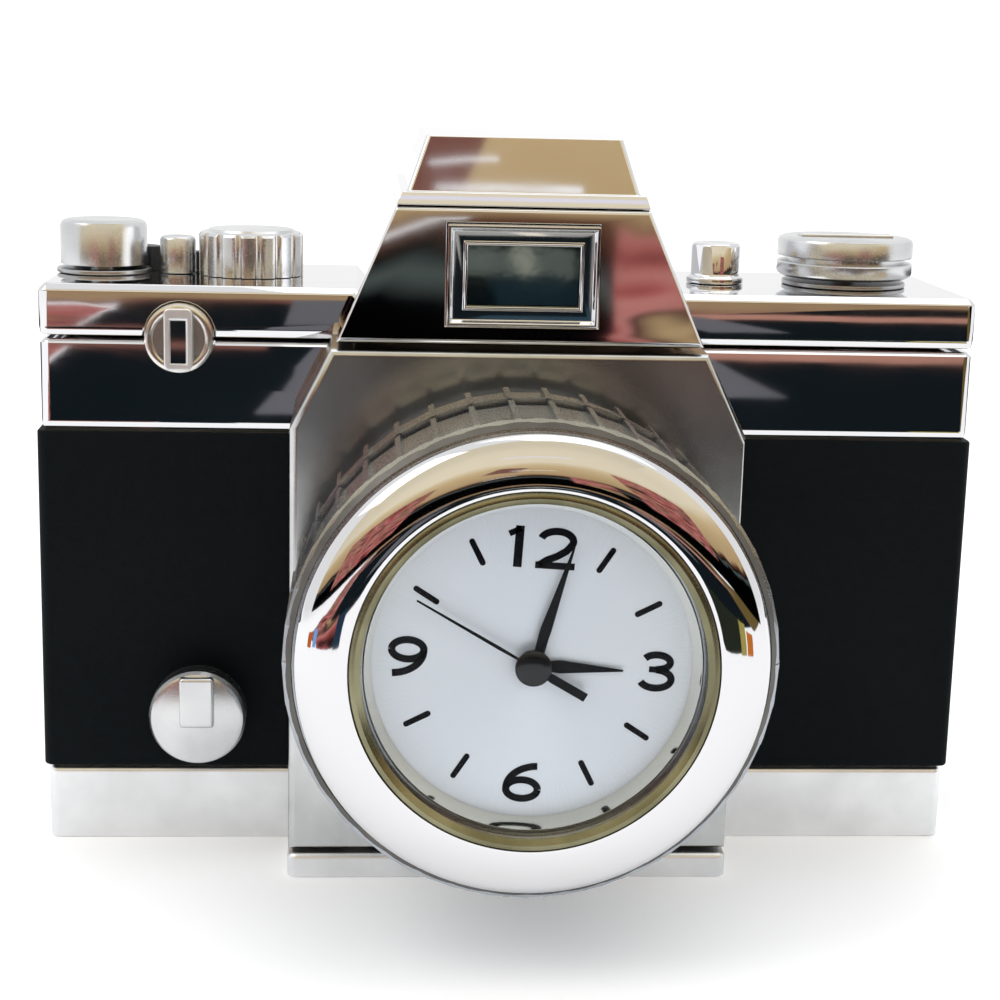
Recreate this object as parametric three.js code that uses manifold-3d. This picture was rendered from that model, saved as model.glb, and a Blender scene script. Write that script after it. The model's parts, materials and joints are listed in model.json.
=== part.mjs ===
// A miniature single-lens reflex camera in cast metal whose lens holds a small quartz clock.
// Millimetres. x runs to the right as the dial is read, y to the back and z up.
// Every piece is drawn with the body's front face at y = 0, and the whole clock is then
// moved so that the middle of the space it fills stands over the origin.
import * as THREE from 'three';
import { mergeVertices } from 'three/addons/utils/BufferGeometryUtils.js';
import Module from 'manifold-3d';

const wasm = await Module();
wasm.setup();

// Gaps between pieces
const seat_gap = 0.05; // glued or screwed faces that rest on each other
const fit_gap = 0.1; // round pieces pressed or turned into each other
const part_line = 0.3; // the groove left between two outer covers
const run_gap = 0.3; // between a piece that moves and what it passes

// Body
const body_width = 75.9;
const body_depth = 20;
const bottom_plate_height = 6.2;
const leather_height = 28.3;
const band_height = 7.1;
const top_plate_height = 4.1;
const top_plate_proud = 0.06;
const casting_wall = 1.6;
const cover_wall = 1.4;
const edge_bevel = 0.5;
const part_line_bevel = 0.35; // beside the groove between the top plate and the band
const corner_radius = 0.8;
const leather_thickness = 1;
const leather_proud = 0.35;
const back_door_width = 61;
const back_door_thickness = 0.8;
const back_door_rim = 1.1;
const back_leather_thickness = 0.7;

// Body screws
const screw_inset_x = 4.3;
const screw_inset_y = 4.8;
const screw_shank_radius = 0.8;
const screw_head_radius = 1.7;
const screw_head_height = 0.9;
const screw_length = 9;
const screw_slot_width = 0.5;
const screw_slot_depth = 0.45;
const boss_wall = 1.3;

// Lens mount housing and its foot
const mount_width = 35.5;
const mount_neck_width = 29.2;
const mount_shoulder_drop = 6.35;
const mount_top_drop = 0.5; // below the prism housing's lower edge
const mount_reach = 8.5;
const mount_wall = 1.5;
const foot_height = 2;
const foot_proud = 0.3;
const foot_peg_spacing = 24;
const foot_peg_radius = 1.5;

// Prism housing, its cap and its windows
const prism_base_width = 28.4;
const prism_top_width = 19.4;
const prism_drop = 3.25; // how far its front hangs below the top plate's upper face
const prism_rise = 7.2; // above the top plate's upper face
const prism_lean = 0.6; // how far its front face leans back from bottom to top
const prism_back_inset = 0.6;
const ledge_height = 1;
const cap_height = 4.2;
const cap_base_width = 18.2;
const cap_top_width = 15;
const cap_setback = 0.5;
const cap_lean = 0.4;
const cap_back_slope = 5.5;
const window_width = 11.6;
const window_height = 7.7;
const window_side_bar = 1.8;
const window_end_bar = 1.5;
const window_groove_outer = 0.2; // shares of a bar's width, counted from its outer edge
const window_groove_inner = 0.8;
const window_proud = 0.8;
const window_sink = 0.5;
const pane_thickness = 0.5;
const window_drop = 5.1; // window centre below the housing's upper edge
const eyepiece_width = 10;
const eyepiece_height = 5.6;
const eyepiece_border = 1.4;
const eyepiece_depth = 1.9;
const eyepiece_drop = 3.6;

// Lens barrel and its rings, from the mount housing forward
const lens_axis_height = 23.33;
const neck_inset = 0.5; // of the neck behind the barrel's own radius
const neck_length = 4;
const spigot_wall = 2.1;
const lock_ring_wall = 1.8;
const lock_ring_length = 2;
const barrel_wall = 3;
const rear_bore_step = 1.2; // the step that the insert rests against
const grip_proud = 1.5;
const grip_relief = 0.4;
const grip_count = 38;
const grip_share = 0.15; // part of each pitch that stands proud, as a rib
const grip_lip = 0.3;
const aperture_ring_length = 5;
const ring_groove = 1;
const focus_ring_length = 8.3;
const bezel_inset = 0.86; // of its edge inside the grip pads
const bezel_edge = 0.5;
const grip_nose = 0.45; // the sloping front end of the focus ring
const bezel_length = 2.1;

// Clock insert, measured back from the front of its own ring
const insert_case_radius = 12.4;
const insert_case_wall = 0.5;
const insert_ring_proud = 0.5;
const insert_ring_length = 2.6;
const insert_ring_lip_inset = 0.35;
const insert_ring_bevel = 0.25;
const insert_ring_front = 0.2; // ahead of the chrome bezel
const insert_depth = 10.2;
const crystal_thickness = 1;
const crystal_recess = 0.45;
const crystal_lip_cover = 0.2;
const dial_recess = 1.45; // dial face below the crystal
const dial_thickness = 0.4;
const dial_wall_slope = 0.55; // how far the inner wall leans in from the crystal to the dial
const dial_turn = 3.3; // degrees clockwise that the insert sits in the barrel
const back_cover_thickness = 0.8;
const grip_band_proud = 0.5;
const grip_band_length = 6;
const grip_band_rib = 0.25;
const grip_band_ribs = 2;

// Hands and motion work
const hour_hand_length = 6.4;
const hour_hand_width = 0.95;
const minute_hand_length = 9;
const minute_hand_width = 0.8;
const second_hand_length = 9.5;
const second_hand_width = 0.24;
const second_tail_length = 4.3;
const second_tail_width = 0.62;
const hand_thickness = 0.14;
const hand_gap = 0.2;
const hub_radius = 1.24;
const hub_height = 0.25;
const hour_pipe_radius = 0.86;
const hour_pipe_bore = 0.6;
const cannon_pipe_radius = 0.5;
const cannon_pipe_bore = 0.28;
const second_pin_radius = 0.18;
const hand_tip_width = 0.12;
const hand_boss_wall = 0.25;
const hand_belly_share = 0.3; // where along its length a hand is widest
const tail_neck_share = 0.35; // where along its length the tail reaches its full width
const shown_hour = 3;
const shown_minute = 2.3;
const shown_second = 49.5;
const hour_hand_slip = -1; // degrees off its true place
const gear_module = 0.22;
const gear_thickness = 0.4;
const gear_gap = 0.22;
const mesh_gap = 0.12;
const cannon_teeth = 12;
const minute_wheel_teeth = 36;
const minute_pinion_teeth = 10;
const hour_wheel_teeth = 40;

// Movement
const base_plate_thickness = 1;
const base_plate_gap = 0.3;
const cell_radius = 3.4;
const cell_thickness = 2.6;
const cell_bevel = 0.4;
const cell_wall = 0.7;
const cell_edge_gap = 1; // from the cell's wall to the insert case
const cell_rise = 1.8; // cell centre above the lens axis
const contact_width = 1.2;
const contact_thickness = 0.3;
const contact_gap = 0.2;
const coil_edge_gap = 6.2; // from the coil axis to the outside of the case
const coil_rise = 1.2;
const coil_radius = 1.1;
const coil_core_radius = 0.45;
const coil_length = 8;
const coil_flange = 0.5;
const stator_thickness = 0.5;
const stator_width = 2.6;
const board_thickness = 0.4;
const board_width = 3.9;
const board_height = 6;
const board_gap = 0.8; // from the cell
const setter_arbor_radius = 0.55;
const set_knob_radius = 3;
const set_knob_height = 1.6;
const set_knob_flutes = 16;
const set_knob_relief = 0.3;
const set_knob_share = 0.5; // part of each pitch that stands proud
const hatch_thickness = 0.7;
const hatch_slot_length = 4.8;
const hatch_slot_width = 0.9;

// Controls on the top plate; heights are above the plate
const knob_gap = 0.35;
const knob_collar = 0.4;
const spindle_radius = 1.1;
const clip_radius = 2.1;
const clip_thickness = 0.4;
const spindle_bite = 0.5; // how far a spindle runs into its knob
const advance_inset = 4; // knob centre from the end of the body
const advance_radius = 3.6;
const advance_height = 4.4;
const advance_edge = 0.5;
const advance_collar_proud = 0.3;
const lever_width = 1.4;
const lever_start = 28; // degrees round the advance knob, counted from the right
const lever_end = 125;
const lever_tab_length = 4.2;
const lever_height = 2;
const lever_tab_height = 1.6;
const release_gap = 0.25; // from the speed dial
const release_radius = 1.5;
const release_height = 3.1;
const release_bevel = 0.4;
const release_dish = 0.15;
const advance_to_speed_dial = 12.3;
const speed_dial_radius = 4.4;
const speed_dial_height = 3.8;
const speed_dial_flutes = 14;
const speed_dial_relief = 0.35;
const speed_dial_share = 0.62; // part of each pitch that stands proud
const speed_dial_face_proud = 0.25;
const post_share = 0.485; // place between the prism housing and the rewind knob
const post_radius = 2.1;
const post_height = 3.4;
const post_foot_proud = 0.35;
const post_foot_height = 0.5;
const post_bevel = 0.4;
const post_dish = 0.2;
const rewind_inset = 8.85; // knob centre from the end of the body
const rewind_radius = 5.75;
const rewind_height = 4.4;
const rewind_lower_height = 1.95; // of its lower tier, from the plate
const rewind_groove = 0.7;
const rewind_groove_depth = 0.6;
const rewind_foot_inset = 0.5;
const rewind_edge = 0.4;
const crank_length = 8;
const crank_width = 1.8;
const crank_corner = 0.8;
const crank_proud = 0.25; // of the face of the knob that it is folded down on

// Controls on the front; a place is a share of the way from the lens mount to the end of the body
const key_disc_place = 0.4465;
const key_disc_radius = 2.75;
const key_disc_reach = 1.3;
const key_disc_edge = 0.2;
const key_disc_rim = 0.3;
const key_width = 2.24;
const key_height = 4.9;
const key_rim = 0.45;
const key_proud = 0.5;
const front_knob_place = 0.3713;
const front_knob_height = 12;
const front_knob_radius = 3.9;
const front_knob_thickness = 2.6;
const front_knob_back_edge = 0.3;
const front_knob_front_edge = 0.55;
const front_knob_base_radius = 3.2;
const front_knob_base_reach = 1.6;
const front_bar_width = 2.77;
const front_bar_length = 4.2;
const front_bar_proud = 0.5;
const front_bar_inset = 0.35;
const front_bar_corner = 0.6;

// Round pieces are drawn with this many sides
const sides_large = 40;
const sides_middle = 24;
const sides_small = 12;
const sides_tiny = 8;

// Heights and depths that follow from the sizes above
const leather_bottom = bottom_plate_height + part_line;
const leather_top = leather_bottom + leather_height;
const band_bottom = leather_top + part_line;
const band_top = band_bottom + band_height;
const top_plate_bottom = band_top + part_line;
const top_plate_top = top_plate_bottom + top_plate_height;
const prism_bottom = top_plate_top - prism_drop;
const prism_top = top_plate_top + prism_rise;
const mount_top = prism_bottom - mount_top_drop;
const mount_bottom = foot_height + part_line;
const insert_ring_radius = insert_case_radius + insert_ring_proud;
const insert_ring_lip = insert_case_radius - insert_ring_lip_inset;
const grip_band_radius = insert_case_radius + grip_band_proud;
const dial_wall_radius = insert_case_radius - insert_case_wall - seat_gap;
const dial_opening_radius = dial_wall_radius - dial_wall_slope;
const insert_bore_radius = insert_ring_radius + fit_gap;
const rear_bore_radius = insert_bore_radius - rear_bore_step;
const spigot_radius = rear_bore_radius + spigot_wall;
const lock_ring_radius = spigot_radius + fit_gap + lock_ring_wall;
const barrel_radius = insert_bore_radius + barrel_wall;
const neck_radius = barrel_radius - neck_inset;
const grip_radius = barrel_radius + grip_proud;
const bezel_radius = grip_radius - bezel_inset;
const coil_offset = insert_case_radius - coil_edge_gap;
const controls_setback = body_depth / 2;
const advance_x = advance_inset - body_width / 2;
const speed_dial_x = advance_x + advance_to_speed_dial;
const release_x = speed_dial_x - speed_dial_radius - release_gap - release_radius;
const rewind_x = body_width / 2 - rewind_inset;
const prism_slope = (prism_base_width - prism_top_width) / 2 / (prism_drop + prism_rise);
const prism_half_at_plate = prism_base_width / 2 - prism_slope * prism_drop;
const post_room = rewind_x - rewind_radius - prism_half_at_plate;
const post_x = prism_half_at_plate + post_room * post_share;
const key_disc_x = -front_place(key_disc_place);
const front_knob_x = -front_place(front_knob_place);
const core_half_width = body_width / 2 + leather_proud - leather_thickness - seat_gap;
const core_front = leather_thickness - leather_proud + seat_gap;
const core_back = body_depth - core_front;
const neck_front = mount_reach + neck_length;
const aperture_front = neck_front + aperture_ring_length;
const focus_back = aperture_front + ring_groove;
const focus_front = focus_back + focus_ring_length;
const barrel_front = focus_front + seat_gap;
const bezel_back = barrel_front + seat_gap;
const bezel_front = bezel_back + bezel_length;
const insert_front = bezel_front + insert_ring_front;
const insert_back = insert_front - insert_depth;
const insert_seat = insert_back - run_gap;
const crystal_front = insert_front - crystal_recess;
const crystal_back = crystal_front - crystal_thickness;
const dial_front = crystal_back - dial_recess;
const dial_back = dial_front - dial_thickness;
const eyepiece_back = body_depth - prism_back_inset + seat_gap + eyepiece_depth;
const overall_shift = (insert_front - eyepiece_back) / 2;

function front_place(share) {
  return mount_width / 2 + ((body_width - mount_width) / 2) * share;
}

const finishes = {
  chrome: finish(0xd8d8da, 0.08, 1),
  satin: finish(0xb9b8b4, 0.35, 1),
  grey_satin: finish(0x8a8682, 0.42, 1),
  plate_satin: finish(0xd9dcde, 0.38, 1),
  leather: finish(0x0b1214, 0.65, 0),
  glass: finish(0xdfe6e6, 0.05, 0),
  dark_glass: finish(0x232a2c, 0.1, 0),
  gold: finish(0x9a9460, 0.22, 1),
  dial: finish(0xd4d6e0, 0.3, 0.6),
  ink: finish(0x101018, 0.45, 0.2),
  rubber: finish(0x222222, 0.85, 0),
  steel: finish(0xa9abac, 0.32, 1),
  brass: finish(0xb89a50, 0.35, 1),
  copper: finish(0x9c5a32, 0.4, 1),
  plastic: finish(0x3a3c3e, 0.55, 0),
  board: finish(0x1f4a36, 0.5, 0),
};

function finish(color, roughness, metalness) {
  return new THREE.MeshStandardMaterial({ color, roughness, metalness });
}

// Welds shared corners, drops triangles of no area and turns the faces outwards.
function solid(geometry) {
  const bare = geometry.clone();
  bare.deleteAttribute('normal');
  bare.deleteAttribute('uv');
  const welded = mergeVertices(bare);
  const index = Array.from(welded.index.array);
  const kept = [];
  for (let i = 0; i < index.length; i += 3) {
    const [a, b, c] = index.slice(i, i + 3);
    if (a !== b && b !== c && c !== a) {
      kept.push(a, b, c);
    }
  }
  const result = new THREE.BufferGeometry();
  result.setAttribute('position', new THREE.BufferAttribute(welded.attributes.position.array, 3));
  result.setIndex(volume(welded.attributes.position, kept) < 0 ? kept.reverse() : kept);
  return result;
}

function volume(position, index) {
  const a = new THREE.Vector3();
  const b = new THREE.Vector3();
  const c = new THREE.Vector3();
  let sum = 0;
  for (let i = 0; i < index.length; i += 3) {
    a.fromBufferAttribute(position, index[i]);
    b.fromBufferAttribute(position, index[i + 1]);
    c.fromBufferAttribute(position, index[i + 2]);
    sum += a.dot(b.cross(c)) / 6;
  }
  return sum;
}

function to_manifold(geometry) {
  const closed = solid(geometry);
  return new wasm.Manifold(new wasm.Mesh({
    numProp: 3,
    vertProperties: new Float32Array(closed.attributes.position.array),
    triVerts: new Uint32Array(closed.index.array),
  }));
}

function from_manifold(manifold) {
  const mesh = manifold.getMesh();
  const geometry = new THREE.BufferGeometry();
  geometry.setAttribute('position', new THREE.BufferAttribute(new Float32Array(mesh.vertProperties), 3));
  geometry.setIndex(Array.from(mesh.triVerts));
  return geometry;
}

function join(first, ...others) {
  let result = to_manifold(first);
  for (const other of others) {
    result = result.add(to_manifold(other));
  }
  return from_manifold(result);
}

function cut(first, ...tools) {
  let result = to_manifold(first);
  for (const tool of tools) {
    result = result.subtract(to_manifold(tool));
  }
  return from_manifold(result);
}

function add(group, name, geometry, material) {
  const mesh = new THREE.Mesh(solid(geometry), material);
  mesh.name = name;
  group.add(mesh);
  return mesh;
}

function placed_group(parent, x, y, z) {
  const group = new THREE.Group();
  group.position.set(x, y, z);
  parent.add(group);
  return group;
}

// A box between two corners.
function block(x0, x1, y0, y1, z0, z1) {
  const box = new THREE.BoxGeometry(x1 - x0, y1 - y0, z1 - z0);
  return box.translate((x0 + x1) / 2, (y0 + y1) / 2, (z0 + z1) / 2);
}

// A closed solid between two level polygons that have the same number of corners.
function loft(lower, upper) {
  const count = lower.length;
  const points = [...lower, ...upper];
  const index = [];
  for (let i = 0; i < count; i += 1) {
    const next = (i + 1) % count;
    index.push(i, next, count + next, i, count + next, count + i);
  }
  for (let i = 1; i < count - 1; i += 1) {
    index.push(0, i + 1, i, count, count + i, count + i + 1);
  }
  const geometry = new THREE.BufferGeometry();
  geometry.setAttribute('position', new THREE.Float32BufferAttribute(points.flat(), 3));
  geometry.setIndex(index);
  return geometry;
}

// A block that tapers from one level rectangle to another.
function tapered(low, high) {
  const ring = (end) => [
    [-end.half, end.front, end.z],
    [end.half, end.front, end.z],
    [end.half, end.back, end.z],
    [-end.half, end.back, end.z],
  ];
  return loft(ring(low), ring(high));
}

function circle_points(radius, sides, x = 0, y = 0) {
  const points = [];
  for (let i = 0; i < sides; i += 1) {
    const angle = (2 * Math.PI * i) / sides;
    points.push(new THREE.Vector2(x + radius * Math.cos(angle), y + radius * Math.sin(angle)));
  }
  return points;
}

function rounded_rectangle(x0, x1, y0, y1, radius) {
  const shape = new THREE.Shape();
  shape.absarc(x1 - radius, y1 - radius, radius, 0, Math.PI / 2);
  shape.absarc(x0 + radius, y1 - radius, radius, Math.PI / 2, Math.PI);
  shape.absarc(x0 + radius, y0 + radius, radius, Math.PI, 1.5 * Math.PI);
  shape.absarc(x1 - radius, y0 + radius, radius, 1.5 * Math.PI, 2 * Math.PI);
  shape.closePath();
  return shape;
}

// Raises a flat outline drawn in x and y from one height to another.
function raised(shape, bottom, top, corner_steps = 3) {
  const options = { depth: top - bottom, bevelEnabled: false, curveSegments: corner_steps };
  return new THREE.ExtrudeGeometry(shape, options).translate(0, 0, bottom);
}

// A plate with rounded corners and a bevel round its upper and lower edges.
function bevelled_plate(x0, x1, y0, y1, bottom, top, lower_bevel, upper_bevel) {
  const ring = (inset, z) => {
    const radius = Math.max(corner_radius - inset, corner_radius / 4);
    const shape = rounded_rectangle(x0 + inset, x1 - inset, y0 + inset, y1 - inset, radius);
    return shape.getPoints(3).slice(0, -1).map((point) => [point.x, point.y, z]);
  };
  let body = loft(ring(0, bottom + lower_bevel), ring(0, top - upper_bevel));
  if (upper_bevel > 0) {
    body = join(body, loft(ring(0, top - upper_bevel), ring(upper_bevel, top)));
  }
  if (lower_bevel > 0) {
    body = join(body, loft(ring(lower_bevel, bottom), ring(0, bottom + lower_bevel)));
  }
  return body;
}

// Pushes a flat outline drawn as the front is seen, from one reach ahead of y = 0 to another.
function pushed(shape, back_reach, front_reach) {
  const options = { depth: front_reach - back_reach, bevelEnabled: false, curveSegments: 8 };
  const geometry = new THREE.ExtrudeGeometry(shape, options);
  return geometry.rotateX(Math.PI / 2).translate(0, -back_reach, 0);
}

// Turns a profile of [radius, reach] pairs about the lens axis, which points forward.
function turned(profile, sides = sides_large) {
  const points = profile.map(([radius, reach]) => new THREE.Vector2(radius, -reach));
  return new THREE.LatheGeometry(points, sides);
}

// Turns a closed ring profile of [radius, reach] pairs about the lens axis.
function turned_ring(profile, sides = sides_large) {
  return turned([...profile, profile[0]], sides);
}

// Turns a profile of [radius, height] pairs about an upright axis.
function turned_upright(profile, sides = sides_middle) {
  const points = profile.map(([radius, height]) => new THREE.Vector2(radius, height));
  return new THREE.LatheGeometry(points, sides).rotateX(Math.PI / 2);
}

function plain_ring(inner, outer, back_reach, front_reach, sides = sides_large) {
  const corners = [[inner, back_reach], [outer, back_reach], [outer, front_reach], [inner, front_reach]];
  return turned_ring(corners, sides);
}

function rod(radius, back_reach, front_reach, sides = sides_small) {
  return turned([[0, back_reach], [radius, back_reach], [radius, front_reach], [0, front_reach]], sides);
}

function upright_rod(radius, bottom, top, sides = sides_small) {
  return turned_upright([[0, bottom], [radius, bottom], [radius, top], [0, top]], sides);
}

// The outline of a round piece with square teeth or pads standing proud of it.
function toothed_outline(count, outer, inner, share) {
  const points = [];
  for (let i = 0; i < count; i += 1) {
    const start = ((i - share / 2) * 2 * Math.PI) / count;
    const end = ((i + share / 2) * 2 * Math.PI) / count;
    for (const [angle, radius] of [[start, inner], [start, outer], [end, outer], [end, inner]]) {
      points.push(new THREE.Vector2(radius * Math.cos(angle), radius * Math.sin(angle)));
    }
  }
  return new THREE.Shape(points);
}

function with_hole(shape, radius, sides) {
  shape.holes.push(new THREE.Path(circle_points(radius, sides)));
  return shape;
}

// The hollow casting: a box open below, its upper part standing out as the chrome band.
function body_casting(body) {
  const half = body_width / 2;
  const band = bevelled_plate(-half, half, 0, body_depth, band_bottom, band_top, edge_bevel, part_line_bevel);
  const core_bottom = bottom_plate_height + seat_gap;
  const core_top = band_top - casting_wall;
  const core = block(-core_half_width, core_half_width, core_front, core_back, core_bottom, core_top);
  const land_inset = casting_wall + cover_wall;
  const land = block(
    -half + land_inset, half - land_inset, land_inset, body_depth - land_inset,
    band_top - casting_wall / 2, top_plate_bottom - seat_gap,
  );
  const room = block(
    -core_half_width + casting_wall, core_half_width - casting_wall,
    core_front + casting_wall, core_back - casting_wall,
    core_bottom - 1, band_top - casting_wall,
  );
  let casting = cut(join(band, core, land), room);
  for (const [x, y] of body_screw_places()) {
    const half_boss = screw_shank_radius + boss_wall;
    const boss = block(
      x - half_boss, x + half_boss, y - half_boss, y + half_boss, core_bottom, band_top - casting_wall / 2,
    );
    casting = join(casting, boss);
  }
  for (const [x, y] of body_screw_places()) {
    const hole = upright_rod(screw_shank_radius + fit_gap, core_bottom - 1, core_bottom + screw_length);
    casting = cut(casting, hole.translate(x, y, 0));
  }
  const lens_hole = rod(spigot_radius + fit_gap, -core_front - casting_wall - 1, 1, sides_large);
  casting = cut(casting, lens_hole.translate(0, 0, lens_axis_height));
  const control_holes = [advance_x, rewind_x].map((x) => upright_rod(
    clip_radius + run_gap, band_top - casting_wall - 1, top_plate_bottom + 1,
  ).translate(x, controls_setback, 0));
  casting = cut(casting, ...control_holes);
  const knob_hole = rod(spindle_radius + fit_gap, -core_front - casting_wall - 1, 1);
  casting = cut(casting, knob_hole.translate(front_knob_x, 0, front_knob_height));
  add(body, 'body_casting', casting, finishes.chrome);
}

function body_screw_places() {
  const places = [];
  for (const x of [-1, 1]) {
    for (const y of [screw_inset_y, body_depth - screw_inset_y]) {
      places.push([x * (body_width / 2 - screw_inset_x), y]);
    }
  }
  return places;
}

// A slotted countersunk screw, its head downwards and its flat at height 0.
function screw_up(length) {
  const profile = [
    [0, 0],
    [screw_head_radius, 0],
    [screw_head_radius, screw_head_height / 3],
    [screw_shank_radius, screw_head_height],
    [screw_shank_radius, length - screw_shank_radius],
    [0, length],
  ];
  const slot = block(
    -screw_head_radius - 1, screw_head_radius + 1,
    -screw_slot_width / 2, screw_slot_width / 2, -1, screw_slot_depth,
  );
  return cut(turned_upright(profile, sides_small), slot);
}

function screw_recess() {
  const radius = screw_head_radius + fit_gap;
  return turned_upright([
    [0, -1],
    [radius, -1],
    [radius, screw_head_height / 3 + seat_gap + fit_gap],
    [screw_shank_radius + fit_gap, screw_head_height + seat_gap + fit_gap],
    [screw_shank_radius + fit_gap, bottom_plate_height],
    [0, bottom_plate_height],
  ], sides_small);
}

// The satin bottom plate: a shallow tray that closes the casting from below.
function bottom_plate(body) {
  const half = body_width / 2;
  const tray = bevelled_plate(-half, half, 0, body_depth, 0, bottom_plate_height, 0, edge_bevel / 2);
  const room = block(
    -half + cover_wall, half - cover_wall, cover_wall, body_depth - cover_wall,
    cover_wall, bottom_plate_height + 1,
  );
  let plate = cut(tray, room);
  for (const [x, y] of body_screw_places()) {
    const half_pillar = screw_head_radius + boss_wall / 2;
    const pillar = block(
      x - half_pillar, x + half_pillar, y - half_pillar, y + half_pillar, cover_wall / 2, bottom_plate_height,
    );
    plate = join(plate, pillar);
  }
  for (const [x, y] of body_screw_places()) {
    plate = cut(plate, screw_recess().translate(x, y, seat_gap));
  }
  add(body, 'bottom_plate', plate, finishes.plate_satin);
  body_screw_places().forEach(([x, y], i) => {
    const place = placed_group(body, x, y, 2 * seat_gap);
    add(place, `body_screw_${i + 1}`, screw_up(bottom_plate_height + screw_length - fit_gap), finishes.steel);
  });
}

// The chrome top plate: an inverted tray resting on the casting's raised land.
function top_plate(body) {
  const half = body_width / 2 + top_plate_proud;
  const front = -top_plate_proud;
  const back = body_depth + top_plate_proud;
  const tray = bevelled_plate(
    -half, half, front, back, top_plate_bottom, top_plate_top, part_line_bevel, edge_bevel,
  );
  const pillar_half = prism_top_width / 2;
  const rooms = [-1, 1].map((side) => {
    const inner = pillar_half * side;
    const outer = (half - cover_wall - edge_bevel) * side;
    return block(
      Math.min(inner, outer), Math.max(inner, outer), cover_wall + edge_bevel,
      body_depth - cover_wall - edge_bevel, top_plate_bottom - 1, top_plate_top - cover_wall,
    );
  });
  let plate = cut(tray, ...rooms);
  for (const x of [advance_x, rewind_x]) {
    const hole = upright_rod(spindle_radius + fit_gap, top_plate_bottom - 1, top_plate_top + 1);
    plate = cut(plate, hole.translate(x, controls_setback, 0));
  }
  const disc_notch = rod(key_disc_radius + fit_gap, -cover_wall / 2, 1, sides_middle);
  plate = cut(plate, disc_notch.translate(key_disc_x, 0, top_plate_bottom));
  add(body, 'top_plate', plate, finishes.chrome);
}

// Leather cloth glued round each end of the body, from the lens mount to the back door.
function end_leather(body, name, side) {
  const half = body_width / 2 + leather_proud;
  const wrap = raised(
    rounded_rectangle(-half, half, -leather_proud, body_depth + leather_proud, corner_radius),
    leather_bottom, leather_top,
  );
  const inside = block(
    -half + leather_thickness, half - leather_thickness,
    -leather_proud + leather_thickness, body_depth + leather_proud - leather_thickness,
    leather_bottom - 1, leather_top + 1,
  );
  const front_edge = mount_width / 2 + part_line;
  const other_half = side * (half + 1);
  const front_cut = block(
    Math.min(-other_half, front_edge * side), Math.max(-other_half, front_edge * side),
    -leather_proud - 1, body_depth / 2, leather_bottom - 1, leather_top + 1,
  );
  const back_edge = back_door_width / 2 + part_line;
  const back_cut = block(
    Math.min(-other_half, back_edge * side), Math.max(-other_half, back_edge * side),
    body_depth / 2 - 1, body_depth + leather_proud + 1, leather_bottom - 1, leather_top + 1,
  );
  let sheet = cut(wrap, inside, front_cut, back_cut);
  if (side < 0) {
    const hole = rod(spindle_radius + fit_gap, -leather_thickness - 1, leather_proud + 1);
    sheet = cut(sheet, hole.translate(front_knob_x, 0, front_knob_height));
  }
  add(body, name, sheet, finishes.leather);
}

// The back door: a metal plate with its own panel of leather cloth let into it.
function back_door(body) {
  const half = back_door_width / 2;
  const back = core_back + seat_gap;
  const outline = bevelled_door_outline(half, 0);
  const plate = outline(back, back + back_door_thickness + back_leather_thickness / 2);
  const recess = block(
    -half + back_door_rim, half - back_door_rim,
    back + back_door_thickness, body_depth + leather_proud + 1,
    leather_bottom + back_door_rim, leather_top - back_door_rim,
  );
  add(body, 'back_door', cut(plate, recess), finishes.satin);
  const sheet_inset = back_door_rim + seat_gap;
  const sheet = bevelled_door_outline(half, sheet_inset)(
    back + back_door_thickness + seat_gap,
    back + back_door_thickness + back_leather_thickness,
  );
  add(body, 'back_leather', sheet, finishes.leather);
}

function bevelled_door_outline(half, inset) {
  const shape = rounded_rectangle(
    -half + inset, half - inset, leather_bottom + inset, leather_top - inset, corner_radius,
  );
  return (front, back) => pushed(shape, -back, -front);
}

// The grey housing that carries the lens, a box open at the back.
function mount_housing(body) {
  const outline = (inset) => {
    const half = mount_width / 2 - inset;
    const neck = mount_neck_width / 2 - inset;
    return new THREE.Shape([
      new THREE.Vector2(-half, mount_bottom + inset),
      new THREE.Vector2(half, mount_bottom + inset),
      new THREE.Vector2(half, mount_top - mount_shoulder_drop),
      new THREE.Vector2(neck, mount_top - inset),
      new THREE.Vector2(-neck, mount_top - inset),
      new THREE.Vector2(-half, mount_top - mount_shoulder_drop),
    ]);
  };
  const shell = pushed(outline(0), seat_gap, mount_reach);
  const room = pushed(outline(mount_wall), -1, mount_reach - mount_wall);
  const hole = rod(spigot_radius + fit_gap, 0, mount_reach + 1, sides_large);
  let housing = cut(shell, room, hole.translate(0, 0, lens_axis_height));
  for (const x of foot_peg_places()) {
    const drill = upright_rod(foot_peg_radius + fit_gap, mount_bottom - 1, mount_bottom + mount_wall + 1);
    housing = cut(housing, drill.translate(x, -mount_reach / 2, 0));
  }
  add(body, 'lens_mount_housing', housing, finishes.grey_satin);
}

function foot_peg_places() {
  return [-foot_peg_spacing / 2, foot_peg_spacing / 2];
}

// The foot under the lens mount, pegged into the housing; it stands on the table with the bottom plate.
function mount_foot(body) {
  const half = mount_width / 2 + foot_proud / 4;
  const foot_front = -mount_reach - foot_proud;
  let foot = bevelled_plate(-half, half, foot_front, -seat_gap, 0, foot_height, 0, edge_bevel / 2);
  for (const x of foot_peg_places()) {
    const peg = upright_rod(foot_peg_radius, foot_height / 2, mount_bottom + mount_wall);
    foot = join(foot, peg.translate(x, -mount_reach / 2, 0));
  }
  add(body, 'mount_foot', foot, finishes.plate_satin);
}

// The sides of the prism housing at a height: half width, front face and back face.
function prism_section(z, inset = 0) {
  const share = (z - prism_bottom) / (prism_top - prism_bottom);
  const base = prism_base_width / 2;
  const top = prism_top_width / 2;
  return {
    z,
    half: base + (top - base) * share - inset,
    front: -mount_reach + prism_lean * share + inset,
    back: body_depth - prism_back_inset - inset,
  };
}

function prism_front_at(z) {
  return prism_section(z).front;
}

function window_centre() {
  return prism_top - window_drop;
}

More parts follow.
